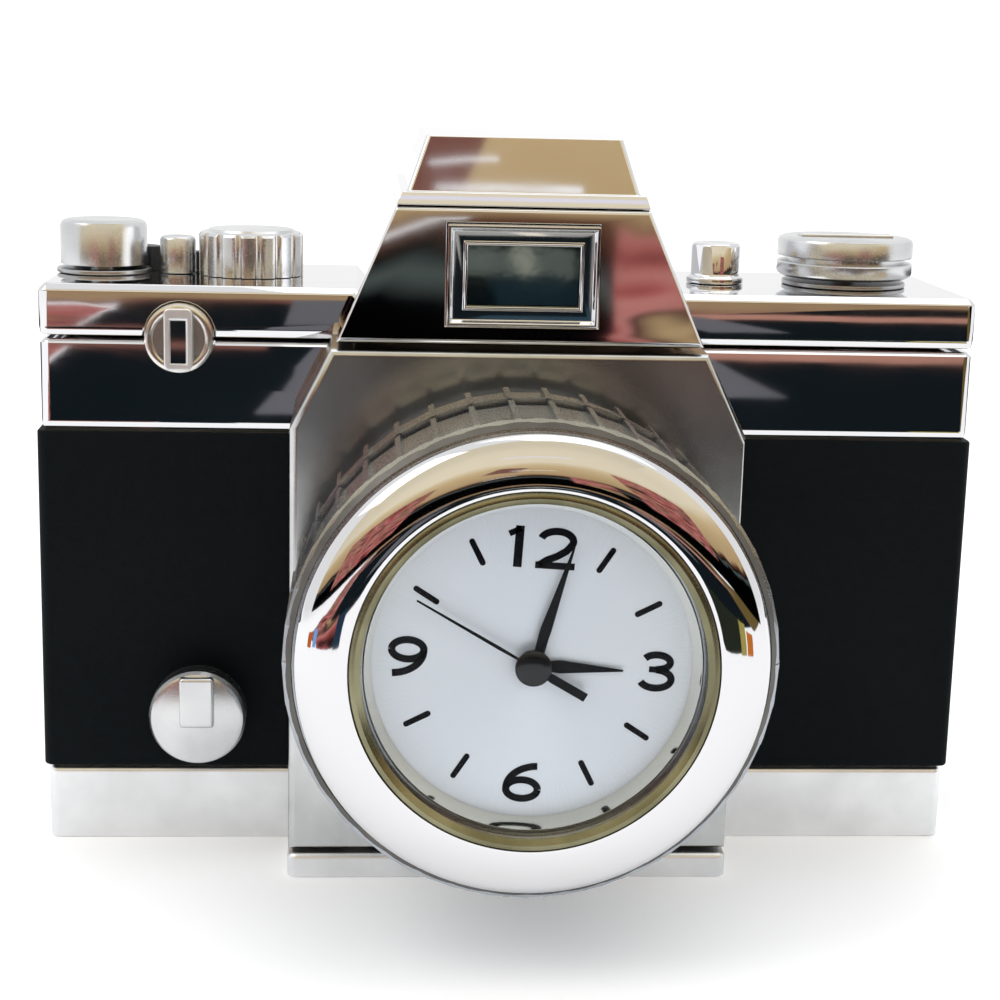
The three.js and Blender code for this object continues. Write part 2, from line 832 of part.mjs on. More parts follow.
// The polished prism housing: a tapered shell that sits on the top plate and hangs in front of it.
function prism_housing(body) {
  const shell = tapered(prism_section(prism_bottom), prism_section(prism_top));
  const body_room = block(
    -prism_base_width, prism_base_width, -top_plate_proud - seat_gap, body_depth + 1,
    prism_bottom - 1, top_plate_top + seat_gap,
  );
  const room = tapered(
    prism_section(prism_bottom - 1, cover_wall),
    prism_section(prism_top - cover_wall, cover_wall),
  );
  const eyepiece_hole = block(
    -eyepiece_width / 2 + eyepiece_border, eyepiece_width / 2 - eyepiece_border,
    body_depth - prism_back_inset - cover_wall - 1, body_depth,
    eyepiece_centre() - eyepiece_height / 2 + eyepiece_border,
    eyepiece_centre() + eyepiece_height / 2 - eyepiece_border,
  );
  const gap = seat_gap;
  const window_recess = leaned_frame(window_width / 2 + gap, window_height / 2 + gap, -window_sink - gap, 1);
  add(body, 'prism_housing', cut(shell, body_room, room, eyepiece_hole, window_recess), finishes.chrome);
}

// A rectangular block that leans with the prism housing's front face, measured out from it.
function leaned_frame(half_width, half_height, inner_reach, outer_reach) {
  const low = window_centre() - half_height;
  const high = window_centre() + half_height;
  const level = (z) => ({
    z,
    half: half_width,
    front: prism_front_at(z) - outer_reach,
    back: prism_front_at(z) - inner_reach,
  });
  return tapered(level(low), level(high));
}

// The false viewfinder window on the front: a mitred frame with a dark pane in it.
function front_window(body) {
  const half_w = window_width / 2;
  const half_h = window_height / 2;
  const outer = leaned_frame(half_w, half_h, -window_sink, window_proud);
  const inner_w = half_w - window_side_bar;
  const inner_h = half_h - window_end_bar;
  const opening = leaned_frame(inner_w, inner_h, -window_sink - 1, window_proud + 1);
  const bar_block = (share, back, front) => leaned_frame(
    half_w - window_side_bar * share, half_h - window_end_bar * share, back, front,
  );
  const groove = cut(
    bar_block(window_groove_outer, window_proud / 2, window_proud + 1),
    bar_block(window_groove_inner, 0, window_proud + 2),
  );
  add(body, 'window_frame', cut(outer, opening, groove), finishes.chrome);
  const pane = leaned_frame(inner_w - seat_gap, inner_h - seat_gap, -window_sink, pane_thickness - window_sink);
  add(body, 'window_pane', pane, finishes.dark_glass);
}

// The cap on the prism housing: a thin ledge below a smaller tapered block that slopes at the back.
function prism_cap(body) {
  const ledge_bottom = prism_top + seat_gap;
  const ledge_top = ledge_bottom + ledge_height;
  const base = prism_section(prism_top);
  const ledge = tapered(
    { ...base, z: ledge_bottom },
    { ...base, z: ledge_top, half: cap_base_width / 2 + cap_setback / 2, front: base.front + cap_setback / 2 },
  );
  const cap_front = base.front + cap_setback;
  const cap = tapered(
    { z: ledge_top - ledge_height / 2, half: cap_base_width / 2, front: cap_front, back: base.back - cap_setback },
    {
      z: ledge_top + cap_height,
      half: cap_top_width / 2,
      front: cap_front + cap_lean,
      back: base.back - cap_setback - cap_back_slope,
    },
  );
  add(body, 'prism_cap', join(ledge, cap), finishes.chrome);
}

function eyepiece_centre() {
  return prism_top - eyepiece_drop;
}

// The eyepiece at the back of the prism housing.
function eyepiece(body) {
  const front = body_depth - prism_back_inset + seat_gap;
  const half_w = eyepiece_width / 2;
  const half_h = eyepiece_height / 2;
  const z = eyepiece_centre();
  const inner_w = half_w - eyepiece_border;
  const inner_h = half_h - eyepiece_border;
  const frame = cut(
    pushed(rounded_rectangle(-half_w, half_w, z - half_h, z + half_h, corner_radius), -eyepiece_back, -front),
    block(-inner_w, inner_w, front - 1, eyepiece_back + 1, z - inner_h, z + inner_h),
  );
  add(body, 'eyepiece_frame', frame, finishes.rubber);
  const pane = block(
    -inner_w + seat_gap, inner_w - seat_gap, front + seat_gap, front + pane_thickness,
    z - inner_h + seat_gap, z + inner_h - seat_gap,
  );
  add(body, 'eyepiece_pane', pane, finishes.dark_glass);
}

// The barrel: one turned tube with a spigot that passes through the housing and the casting.
function lens_barrel(lens) {
  const spigot_back = -core_front - casting_wall - lock_ring_length - fit_gap;
  const barrel = turned_ring([
    [rear_bore_radius, spigot_back],
    [spigot_radius, spigot_back],
    [spigot_radius, mount_reach + seat_gap],
    [neck_radius, mount_reach + seat_gap],
    [neck_radius, neck_front],
    [barrel_radius, neck_front],
    [barrel_radius, barrel_front],
    [insert_bore_radius, barrel_front],
    [insert_bore_radius, insert_seat],
    [rear_bore_radius, insert_seat],
  ]);
  add(lens, 'lens_barrel', barrel, finishes.satin);
  const lock_front = -core_front - casting_wall - seat_gap;
  const lock = plain_ring(spigot_radius + fit_gap, lock_ring_radius, lock_front - lock_ring_length, lock_front);
  add(lens, 'barrel_lock_ring', lock, finishes.steel);
}

// A ring that slides over the barrel: shallow windows between thin ribs, closed by a lip in front.
function grip_ring(back_reach, front_reach, lip_length) {
  const bore = barrel_radius + fit_gap;
  const outline = toothed_outline(grip_count, grip_radius, grip_radius - grip_relief, grip_share);
  const ribbed = pushed(with_hole(outline, bore, sides_large), back_reach, front_reach);
  const lip = plain_ring(bore, grip_radius, front_reach - lip_length, front_reach);
  return join(ribbed, lip);
}

function lens_rings(lens) {
  add(lens, 'aperture_ring', grip_ring(neck_front + seat_gap, aperture_front, grip_lip), finishes.satin);
  const nose = turned_ring([
    [grip_radius + bezel_inset, focus_front - 2 * grip_nose],
    [bezel_radius - bezel_inset, focus_front + grip_nose],
    [grip_radius + bezel_inset, focus_front + grip_nose],
  ]);
  const ring = grip_ring(focus_back, focus_front, 2 * grip_nose + grip_lip);
  add(lens, 'focus_ring', cut(ring, nose), finishes.satin);
}

// The domed chrome bezel that closes the front of the barrel.
function lens_bezel(lens) {
  const steps = 4;
  const edge_reach = bezel_back + bezel_edge;
  const dome = [];
  for (let i = 0; i <= steps; i += 1) {
    const angle = (Math.PI / 2) * (i / steps);
    const radius = insert_bore_radius + (bezel_radius - insert_bore_radius) * Math.cos(angle);
    dome.push([radius, edge_reach + (bezel_front - edge_reach) * Math.sin(angle)]);
  }
  const profile = [
    [insert_bore_radius, bezel_back],
    [bezel_radius, bezel_back],
    ...dome,
  ];
  add(lens, 'lens_bezel', turned_ring(profile), finishes.chrome);
}

// The clock insert: case, grip band, front ring, crystal, inner wall, dial and back cover.
function clock_insert(insert) {
  const case_front = crystal_back - seat_gap;
  const case_inner = insert_case_radius - insert_case_wall;
  const case_ring = plain_ring(case_inner, insert_case_radius, insert_back, case_front);
  add(insert, 'insert_case', case_ring, finishes.steel);
  add(insert, 'grip_band', grip_band(), finishes.rubber);
  const crystal_radius = insert_ring_lip + crystal_lip_cover;
  const ring_room = insert_case_radius + seat_gap;
  const lip_back = crystal_front + seat_gap;
  const ring = turned_ring([
    [ring_room, insert_front - insert_ring_length],
    [insert_ring_radius, insert_front - insert_ring_length],
    [insert_ring_radius, insert_front - insert_ring_bevel],
    [insert_ring_radius - insert_ring_bevel, insert_front],
    [insert_ring_lip + insert_ring_bevel, insert_front],
    [insert_ring_lip, insert_front - insert_ring_bevel],
    [insert_ring_lip, lip_back],
    [ring_room, lip_back],
  ]);
  add(insert, 'insert_ring', ring, finishes.gold);
  add(insert, 'crystal', rod(crystal_radius, crystal_back, crystal_front, sides_large), finishes.glass);
  const wall = turned_ring([
    [dial_opening_radius, dial_front + seat_gap],
    [dial_wall_radius, dial_front + seat_gap],
    [dial_wall_radius, case_front],
    [dial_wall_radius - seat_gap, case_front],
  ]);
  add(insert, 'dial_wall', wall, finishes.chrome);
  const dial = plain_ring(hour_pipe_radius + fit_gap, dial_wall_radius, dial_back, dial_front);
  add(insert, 'dial', dial, finishes.dial);
  insert_back_cover(insert, case_inner);
}

function grip_band() {
  const band_back = insert_front - insert_ring_length - part_line - grip_band_length;
  const pitch = grip_band_length / grip_band_ribs;
  const profile = [[insert_case_radius + seat_gap, band_back]];
  for (let i = 0; i < grip_band_ribs; i += 1) {
    const start = band_back + i * pitch;
    profile.push([grip_band_radius - grip_band_rib, start], [grip_band_radius, start + pitch / 2]);
  }
  profile.push([insert_case_radius + seat_gap, band_back + grip_band_length]);
  return turned_ring(profile);
}

// Where the setting knob and the cell stand in the insert, seen from the front.
function setter_place() {
  const distance = (gear_module * (cannon_teeth + minute_wheel_teeth)) / 2 + mesh_gap;
  return [0, -distance];
}

function cell_place() {
  return [insert_case_radius - insert_case_wall - cell_radius - cell_wall - cell_edge_gap, cell_rise];
}

function insert_back_cover(insert, case_inner) {
  const front = insert_back + back_cover_thickness;
  const [cell_x, cell_z] = cell_place();
  const [setter_x, setter_z] = setter_place();
  const disc = rod(case_inner - seat_gap, insert_back, front, sides_middle);
  const arbor_hole = rod(setter_arbor_radius + fit_gap, insert_back - 1, front + 1);
  const hatch_hole = rod(cell_radius + cell_wall / 2, insert_back - 1, front + 1, sides_middle);
  const cover = cut(
    disc,
    arbor_hole.translate(setter_x, 0, setter_z),
    hatch_hole.translate(cell_x, 0, cell_z),
  );
  add(insert, 'insert_back_cover', cover, finishes.plastic);
  const hatch_radius = cell_radius + cell_wall / 2 - fit_gap;
  const slot = block(
    -hatch_slot_length / 2, hatch_slot_length / 2, -insert_back - hatch_thickness / 2, 1 - insert_back,
    -hatch_slot_width / 2, hatch_slot_width / 2,
  );
  const hatch = cut(rod(hatch_radius, insert_back, insert_back + hatch_thickness, sides_middle), slot);
  add(insert, 'battery_hatch', hatch.translate(cell_x, 0, cell_z), finishes.plastic);
}

// The gear train and hands turn about the lens axis; reaches are measured along it.
const cannon_gear_back = dial_back - 2 * gear_thickness - 2 * gear_gap;
const hour_gear_back = cannon_gear_back + gear_thickness + gear_gap;
const base_plate_front = cannon_gear_back - base_plate_gap;
const base_plate_back = base_plate_front - base_plate_thickness;
const hour_hand_back = dial_front + hand_gap;
const minute_hand_back = hour_hand_back + hand_thickness + hand_gap;
const second_hand_back = minute_hand_back + hand_thickness + hand_gap;

function gear(teeth, bore, back_reach) {
  const radius = (gear_module * teeth) / 2;
  const points = circle_points(1, 2 * teeth).map((point, i) => (
    point.multiplyScalar(i % 2 ? radius : radius - gear_module)
  ));
  const outline = new THREE.Shape(points);
  const shape = bore > 0 ? with_hole(outline, bore, sides_small) : outline;
  return pushed(shape, back_reach, back_reach + gear_thickness);
}

// A tapering hand lying along +z, with a tail when one is given.
function hand_outline(length, width, tip_width, tail_length, tail_width) {
  const points = [
    [-width / 4, 0],
    [-width / 2, length * hand_belly_share],
    [-tip_width / 2, length],
    [tip_width / 2, length],
    [width / 2, length * hand_belly_share],
    [width / 4, 0],
  ];
  if (tail_length > 0) {
    const neck = -tail_length * tail_neck_share;
    points.push([tail_width / 2, neck], [tail_width / 2, -tail_length]);
    points.push([-tail_width / 2, -tail_length], [-tail_width / 2, neck]);
  }
  return new THREE.Shape(points.map(([x, y]) => new THREE.Vector2(x, y)));
}

function hand_group(insert, degrees_past_twelve) {
  const group = new THREE.Group();
  group.rotation.y = THREE.MathUtils.degToRad(degrees_past_twelve);
  insert.add(group);
  return group;
}

function hour_hand(insert) {
  const group = hand_group(insert, 30 * (shown_hour + shown_minute / 60) + hour_hand_slip);
  const front = hour_hand_back + hand_thickness;
  const outline = hand_outline(hour_hand_length, hour_hand_width, hand_tip_width, 0, 0);
  const leaf = pushed(outline, hour_hand_back, front);
  const boss = rod(hour_pipe_radius + hand_boss_wall, hour_hand_back, front, sides_small);
  const pipe = rod(hour_pipe_radius, hour_gear_back, front, sides_small);
  const bore = rod(hour_pipe_bore, hour_gear_back - 1, front + 1, sides_small);
  add(group, 'hour_hand', cut(join(leaf, boss, pipe), bore), finishes.ink);
  const wheel = gear(hour_wheel_teeth, hour_pipe_radius + seat_gap, hour_gear_back);
  add(group, 'hour_wheel', wheel, finishes.brass);
}

function minute_hand(insert) {
  const group = hand_group(insert, 6 * shown_minute);
  const front = minute_hand_back + hand_thickness;
  const outline = hand_outline(minute_hand_length, minute_hand_width, hand_tip_width, 0, 0);
  const leaf = pushed(outline, minute_hand_back, front);
  const boss = rod(cannon_pipe_radius + hand_boss_wall, minute_hand_back, front, sides_small);
  const pipe = rod(cannon_pipe_radius, cannon_gear_back, front, sides_small);
  const bore = rod(cannon_pipe_bore, cannon_gear_back - 1, front + 1, sides_small);
  add(group, 'minute_hand', cut(join(leaf, boss, pipe), bore), finishes.ink);
  const pinion = gear(cannon_teeth, cannon_pipe_radius + seat_gap, cannon_gear_back);
  add(group, 'cannon_pinion', pinion, finishes.brass);
}

function second_hand(insert) {
  const group = hand_group(insert, 6 * shown_second);
  const front = second_hand_back + hand_thickness;
  const outline = hand_outline(
    second_hand_length, second_hand_width, hand_tip_width, second_tail_length, second_tail_width,
  );
  const needle = pushed(outline, second_hand_back, front);
  const hub = rod(hub_radius, second_hand_back, second_hand_back + hub_height, sides_middle);
  const pin = rod(second_pin_radius, base_plate_front - base_plate_thickness / 2, front, sides_tiny);
  add(group, 'second_hand', join(needle, hub, pin), finishes.ink);
}

// The movement behind the dial: base plate, setting wheel and knob, cell, contact, coil and board.
function movement(insert) {
  const [setter_x, setter_z] = setter_place();
  const [cell_x, cell_z] = cell_place();
  const tray = turned([
    [0, base_plate_back],
    [dial_wall_radius, base_plate_back],
    [dial_wall_radius, dial_back - seat_gap],
    [dial_wall_radius - cell_wall, dial_back - seat_gap],
    [dial_wall_radius - cell_wall, base_plate_front],
    [0, base_plate_front],
  ], sides_middle);
  const plate = cut(
    tray,
    rod(second_pin_radius + fit_gap, base_plate_back - 1, base_plate_front + 1, sides_tiny),
    rod(setter_arbor_radius + fit_gap, base_plate_back - 1, base_plate_front + 1)
      .translate(setter_x, 0, setter_z),
  );
  add(insert, 'base_plate', plate, finishes.plastic);

  const setter = placed_group(insert, setter_x, 0, setter_z);
  const arbor = rod(setter_arbor_radius, insert_back - run_gap, hour_gear_back + gear_thickness);
  const wheel = gear(minute_wheel_teeth, 0, cannon_gear_back);
  const pinion = gear(minute_pinion_teeth, 0, hour_gear_back);
  add(setter, 'setting_wheel', join(arbor, wheel, pinion), finishes.brass);
  const knob_front = insert_back - run_gap - seat_gap;
  const flutes = toothed_outline(set_knob_flutes, set_knob_radius, set_knob_radius - set_knob_relief, set_knob_share);
  add(setter, 'setting_knob', pushed(flutes, knob_front - set_knob_height, knob_front), finishes.plastic);

  const cell_back = insert_back + hatch_thickness + part_line;
  const cell_front = cell_back + cell_thickness;
  const cell = turned([
    [0, cell_back],
    [cell_radius, cell_back],
    [cell_radius, cell_front - cell_bevel],
    [cell_radius - cell_bevel, cell_front],
    [0, cell_front],
  ], sides_middle);
  add(insert, 'button_cell', cell.translate(cell_x, 0, cell_z), finishes.steel);
  const contact_half = contact_width / 2;
  const contact_inner = cell_radius + contact_gap;
  const contact_outer = contact_inner + contact_thickness;
  const contact_y = -base_plate_back + seat_gap;
  const contact = join(
    block(-contact_half, contact_half, contact_y, contact_y + contact_thickness, -cell_radius, contact_outer),
    block(-contact_half, contact_half, contact_y, -cell_back, contact_inner, contact_outer),
  );
  add(insert, 'cell_contact', contact.translate(cell_x, 0, cell_z), finishes.brass);

  const coil_reach = base_plate_back - coil_radius - coil_flange - seat_gap;
  const half = coil_length / 2;
  const bobbin = turned_upright([
    [0, -half],
    [coil_radius + coil_flange, -half],
    [coil_radius + coil_flange, -half + coil_flange],
    [coil_radius, -half + coil_flange],
    [coil_radius, half - coil_flange],
    [coil_radius + coil_flange, half - coil_flange],
    [coil_radius + coil_flange, half],
    [0, half],
  ], sides_small);
  const bobbin_bore = upright_rod(coil_core_radius + fit_gap, -half - 1, half + 1, sides_tiny);
  const winding = cut(bobbin, bobbin_bore).translate(-coil_offset, -coil_reach, coil_rise);
  add(insert, 'coil', winding, finishes.copper);
  const core_half = half + stator_width / 2;
  const core = upright_rod(coil_core_radius, -core_half, core_half, sides_tiny);
  const yokes = [-1, 1].map((side) => block(
    0, coil_offset - stator_width / 2, -stator_thickness, stator_thickness,
    side * (half + stator_width / 4 + seat_gap) - stator_width / 4,
    side * (half + stator_width / 4 + seat_gap) + stator_width / 4,
  ));
  add(insert, 'stator', join(core, ...yokes).translate(-coil_offset, -coil_reach, coil_rise), finishes.steel);
  const board_right = cell_x - cell_radius - board_gap;
  const board_y = -base_plate_back + seat_gap;
  const board = block(
    board_right - board_width, board_right, board_y, board_y + board_thickness,
    -board_height / 3, (board_height * 2) / 3,
  );
  add(insert, 'circuit_board', board, finishes.board);
}

// A turned knob on its own spindle, held under the top plate by a spring clip.
function spindle_knob(body, name, x, profile_sides, cap) {
  const base = placed_group(body, x, controls_setback, top_plate_top);
  const bottom = knob_gap + knob_collar;
  const spindle = upright_rod(spindle_radius, -cover_wall - clip_thickness - 2 * seat_gap, bottom + spindle_bite);
  add(base, `${name}_knob`, join(cap(bottom), spindle), finishes.satin);
  const collar_profile = [
    [spindle_radius + fit_gap, seat_gap],
    [profile_sides, seat_gap],
    [profile_sides, knob_collar],
    [spindle_radius + fit_gap, knob_collar],
  ];
  add(base, `${name}_collar`, turned_upright([...collar_profile, collar_profile[0]]), finishes.steel);
  return base;
}

function advance_controls(body) {
  spindle_knob(body, 'advance', advance_x, advance_radius + advance_collar_proud, (bottom) => turned_upright([
    [0, bottom],
    [advance_radius, bottom],
    [advance_radius, advance_height - advance_edge],
    [advance_radius - advance_edge / 3, advance_height - advance_edge / 3],
    [advance_radius - advance_edge, advance_height],
    [0, advance_height],
  ]));
  const inner = advance_radius + advance_collar_proud + run_gap;
  const outer = inner + lever_width;
  const start = THREE.MathUtils.degToRad(lever_start);
  const end = THREE.MathUtils.degToRad(lever_end);
  const arm = new THREE.Shape();
  arm.absarc(0, 0, outer, start, end);
  arm.absarc(0, 0, inner, end, start, true);
  arm.closePath();
  const tab_y = inner * Math.sin(start) + run_gap;
  const tab_x = inner * Math.cos(start);
  const bottom = seat_gap;
  const lever = join(
    raised(arm, bottom, lever_height, 8),
    block(tab_x, tab_x + lever_tab_length, tab_y, tab_y + lever_width, bottom, lever_tab_height),
  );
  const place = placed_group(body, advance_x, controls_setback, top_plate_top);
  add(place, 'advance_lever', lever, finishes.plastic);
}

function fixed_controls(body) {
  const release = placed_group(body, release_x, controls_setback, top_plate_top + seat_gap);
  add(release, 'release_button', turned_upright([
    [0, 0],
    [release_radius, 0],
    [release_radius, release_height - release_bevel],
    [release_radius - release_bevel, release_height],
    [0, release_height - release_dish],
  ]), finishes.satin);
  const speed = placed_group(body, speed_dial_x, controls_setback, top_plate_top + seat_gap);
  const flutes = toothed_outline(
    speed_dial_flutes, speed_dial_radius, speed_dial_radius - speed_dial_relief, speed_dial_share,
  );
  const crown = raised(flutes, 0, speed_dial_height - speed_dial_face_proud);
  const face_radius = speed_dial_radius - 2 * speed_dial_relief;
  const face = upright_rod(face_radius, speed_dial_height / 2, speed_dial_height, sides_middle);
  add(speed, 'speed_dial', join(crown, face), finishes.satin);
  const post = placed_group(body, post_x, controls_setback, top_plate_top + seat_gap);
  add(post, 'flash_post', turned_upright([
    [0, 0],
    [post_radius + post_foot_proud, 0],
    [post_radius + post_foot_proud, post_foot_height],
    [post_radius, post_foot_height + post_foot_proud / 2],
    [post_radius, post_height - post_bevel],
    [post_radius - post_bevel, post_height],
    [0, post_height - post_dish],
  ]), finishes.chrome);
}

function rewind_control(body) {
  const neck = rewind_radius - rewind_groove_depth;
  const face = rewind_height - crank_proud;
  const upper_bottom = rewind_lower_height + rewind_groove;
  spindle_knob(body, 'rewind', rewind_x, rewind_radius - rewind_foot_inset, (bottom) => {
    const knob = turned_upright([
      [0, bottom],
      [rewind_radius - rewind_foot_inset, bottom],
      [rewind_radius, bottom + rewind_edge],
      [rewind_radius, rewind_lower_height],
      [neck, rewind_lower_height],
      [neck, upper_bottom],
      [rewind_radius, upper_bottom],
      [rewind_radius, face - rewind_edge],
      [rewind_radius - rewind_edge, face],
      [0, face],
    ]);
    const crank = raised(
      rounded_rectangle(-crank_length / 2, crank_length / 2, -crank_width / 2, crank_width / 2, crank_corner),
      face - crank_proud, rewind_height,
    );
    return join(knob, crank);
  });
}

// The clips that hold the two turning knobs under the top plate.
function spindle_clips(body) {
  for (const [name, x] of [['advance_clip', advance_x], ['rewind_clip', rewind_x]]) {
    const clip = placed_group(body, x, controls_setback, top_plate_top - cover_wall - seat_gap);
    const profile = [
      [spindle_radius + fit_gap, -clip_thickness],
      [clip_radius, -clip_thickness],
      [clip_radius, 0],
      [spindle_radius + fit_gap, 0],
    ];
    add(clip, name, turned_upright([...profile, profile[0]], sides_small), finishes.steel);
  }
}

// The small disc that bridges the groove under the top plate, with an upright key on it.
function front_key(body) {
  const place = placed_group(body, key_disc_x, 0, top_plate_bottom);
  const dish_radius = key_disc_radius - key_disc_rim - 2 * key_disc_edge;
  const disc = turned([
    [0, seat_gap],
    [key_disc_radius, seat_gap],
    [key_disc_radius, key_disc_reach - key_disc_edge],
    [key_disc_radius - key_disc_edge, key_disc_reach],
    [dish_radius + key_disc_edge, key_disc_reach],
    [dish_radius, key_disc_reach - key_disc_edge],
    [0, key_disc_reach - key_disc_edge],
  ], sides_middle);
  add(place, 'front_disc', disc, finishes.chrome);
  const half_w = key_width / 2;
  const half_h = key_height / 2;
  const key_back = key_disc_reach + seat_gap;
  const bar = pushed(
    rounded_rectangle(-half_w, half_w, -half_h, half_h, key_rim), key_back, key_back + key_proud,
  );
  const dish = block(
    -half_w + key_rim, half_w - key_rim, -key_back - key_proud - 1, -key_back - key_proud / 2,
    -half_h + key_rim, half_h - 2 * key_rim,
  );
  add(place, 'front_key', cut(bar, dish), finishes.chrome);
}

// The knob low on the front, on a spindle through the leather and the casting.
function front_knob(body) {
  const place = placed_group(body, front_knob_x, 0, front_knob_height);
  const base_back = leather_proud + seat_gap;
  const base_front = base_back + front_knob_base_reach;
  const base = plain_ring(spindle_radius + fit_gap, front_knob_base_radius, base_back, base_front, sides_middle);
  add(place, 'front_knob_base', base, finishes.plastic);
  const knob_back = base_front + run_gap / 2;
  const knob_front = knob_back + front_knob_thickness;
  const disc = turned([
    [0, knob_back],
    [front_knob_radius - front_knob_back_edge, knob_back],
    [front_knob_radius, knob_back + front_knob_back_edge],
    [front_knob_radius, knob_front - front_knob_front_edge],
    [front_knob_radius - front_knob_front_edge, knob_front],
    [0, knob_front],
  ], sides_middle);
  const spindle_back = -core_front - casting_wall - clip_thickness - 2 * seat_gap;
  const spindle = rod(spindle_radius, spindle_back, knob_back + spindle_bite);
  const half = front_bar_width / 2;
  const top = front_knob_radius - front_bar_inset;
  const bar = pushed(
    rounded_rectangle(-half, half, top - front_bar_length, top, front_bar_corner),
    knob_front - spindle_bite, knob_front + front_bar_proud,
  );
  add(place, 'front_knob', join(disc, spindle, bar), finishes.satin);
  const clip_front = -core_front - casting_wall - seat_gap;
  const clip = plain_ring(
    spindle_radius + fit_gap, clip_radius, clip_front - clip_thickness, clip_front, sides_small,
  );
  add(place, 'front_knob_clip', clip, finishes.steel);
}

function camera_clock() {
  const clock = new THREE.Group();
  const body = placed_group(clock, 0, overall_shift, 0);
  body_casting(body);
  bottom_plate(body);
  top_plate(body);
  end_leather(body, 'left_leather', -1);
  end_leather(body, 'right_leather', 1);
  back_door(body);
  mount_housing(body);
  mount_foot(body);
  prism_housing(body);
  prism_cap(body);
  front_window(body);
  eyepiece(body);
  advance_controls(body);
  fixed_controls(body);
  rewind_control(body);
  spindle_clips(body);
  front_key(body);
  front_knob(body);

  const lens = placed_group(body, 0, 0, lens_axis_height);
  lens_barrel(lens);
  lens_rings(lens);
  lens_bezel(lens);

  const insert = placed_group(lens, 0, 0, 0);
  insert.rotation.y = THREE.MathUtils.degToRad(dial_turn);
  clock_insert(insert);
  movement(insert);
  hour_hand(insert);
  minute_hand(insert);
  second_hand(insert);
  return clock;
}

export default camera_clock();
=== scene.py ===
# %% [markdown]
# # A small clock shaped like a camera
# The real object is a toy-sized reflex camera cast in zinc. Most of it is chrome plated, its ends
# are wrapped in black leather cloth, and a quartz clock sits in its lens. The solid model holds
# every piece at its true size. This lesson dresses it: it rounds the edges that catch the light,
# turns the round pieces more finely, prints the dial, and gives each piece its real finish.

import json
import math

import bpy
from mathutils import Matrix, Vector


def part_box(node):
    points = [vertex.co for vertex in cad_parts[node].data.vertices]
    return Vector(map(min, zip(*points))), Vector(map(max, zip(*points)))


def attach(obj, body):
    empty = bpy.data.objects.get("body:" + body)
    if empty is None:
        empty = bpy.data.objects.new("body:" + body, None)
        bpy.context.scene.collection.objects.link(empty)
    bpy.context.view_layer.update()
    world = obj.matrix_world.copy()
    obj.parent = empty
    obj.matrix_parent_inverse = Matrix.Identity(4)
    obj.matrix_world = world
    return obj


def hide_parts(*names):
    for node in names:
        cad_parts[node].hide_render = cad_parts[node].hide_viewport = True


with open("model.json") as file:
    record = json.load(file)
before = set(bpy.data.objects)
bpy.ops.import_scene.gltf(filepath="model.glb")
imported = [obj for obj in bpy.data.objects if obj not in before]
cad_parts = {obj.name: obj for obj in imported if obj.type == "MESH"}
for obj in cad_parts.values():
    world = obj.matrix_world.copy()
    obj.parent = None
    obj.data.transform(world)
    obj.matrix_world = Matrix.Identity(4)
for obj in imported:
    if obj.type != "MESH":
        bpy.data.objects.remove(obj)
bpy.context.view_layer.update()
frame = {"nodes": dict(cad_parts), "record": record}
nodes = frame["nodes"]
mm = 0.001

# %% [markdown]
# ## Colours and nodes
# A colour is read off a picture as an sRGB hex value, but a shader works with linear light. One
# function does the change. A second one adds a node, sets its values and joins it to other nodes.
# The last four make a noise of a real size and let it drive the colour, the roughness or the
# relief, so that each material below reads like a recipe.

# %% Helpers for materials
def colour(hex_value):
    channels = [int(hex_value[i:i + 2], 16) / 255 for i in (1, 3, 5)]
    return [c / 12.92 if c <= 0.04045 else ((c + 0.055) / 1.055) ** 2.4 for c in channels] + [1]


def add_node(material, kind, values=(), links=()):
    """Adds a node; values are (socket or setting, value), links are (socket, node, output)."""
    node = material.node_tree.nodes.new("ShaderNode" + kind)
    for name, value in values:
        if isinstance(name, int) or name in node.inputs:
            node.inputs[name].default_value = value
        else:
            setattr(node, name, value)
    for socket, source, output in links:
        material.node_tree.links.new(source.outputs[output], node.inputs[socket])
    return node


def new_material(name, surface):
    """A material with one Principled shader and its object coordinates."""
    material = bpy.data.materials.new(name)
    material.use_nodes = True
    shader = material.node_tree.nodes["Principled BSDF"]
    for socket, value in surface.items():
        shader.inputs[socket].default_value = value
    place = add_node(material, "TexCoord")
    return material, shader, place


def join_nodes(material, source, output, target, socket):
    material.node_tree.links.new(source.outputs[output], target.inputs[socket])


def per_metre(size_mm):
    """A texture's scale, from the real size of one grain or lump."""
    return 1 / (size_mm * mm)


def noise_of(material, place, size_mm, detail):
    """A noise whose lumps have a real size."""
    settings = [("Scale", per_metre(size_mm)), ("Detail", detail)]
    return add_node(material, "TexNoise", settings, [("Vector", place, "Object")])


def tint_by(material, shader, source, tones, output="Fac"):
    """The colour follows the source; tones are (value of the source, colour there)."""
    ramp = add_node(material, "ValToRGB", links=[("Fac", source, output)])
    stops = ramp.color_ramp.elements
    while len(stops) < len(tones):
        stops.new(0.5)
    for stop, (position, hex_value) in zip(stops, tones):
        stop.position = position
        stop.color = colour(hex_value)
    join_nodes(material, ramp, "Color", shader, "Base Color")


def roughness_by(material, shader, source, source_range, roughness_range):
    """The roughness follows the source between two of its values."""
    names = ("From Min", "From Max", "To Min", "To Max")
    settings = list(zip(names, source_range + roughness_range))
    spread = add_node(material, "MapRange", settings, [("Value", source, "Fac")])
    join_nodes(material, spread, "Result", shader, "Roughness")


def bump_by(material, shader, source, strength, height_mm, output="Fac"):
    """The surface seems to rise and fall with the source, by this much at full strength."""
    settings = [("Strength", strength), ("Distance", height_mm * mm)]
    bump = add_node(material, "Bump", settings, [("Height", source, output)])
    join_nodes(material, bump, "Normal", shader, "Normal")


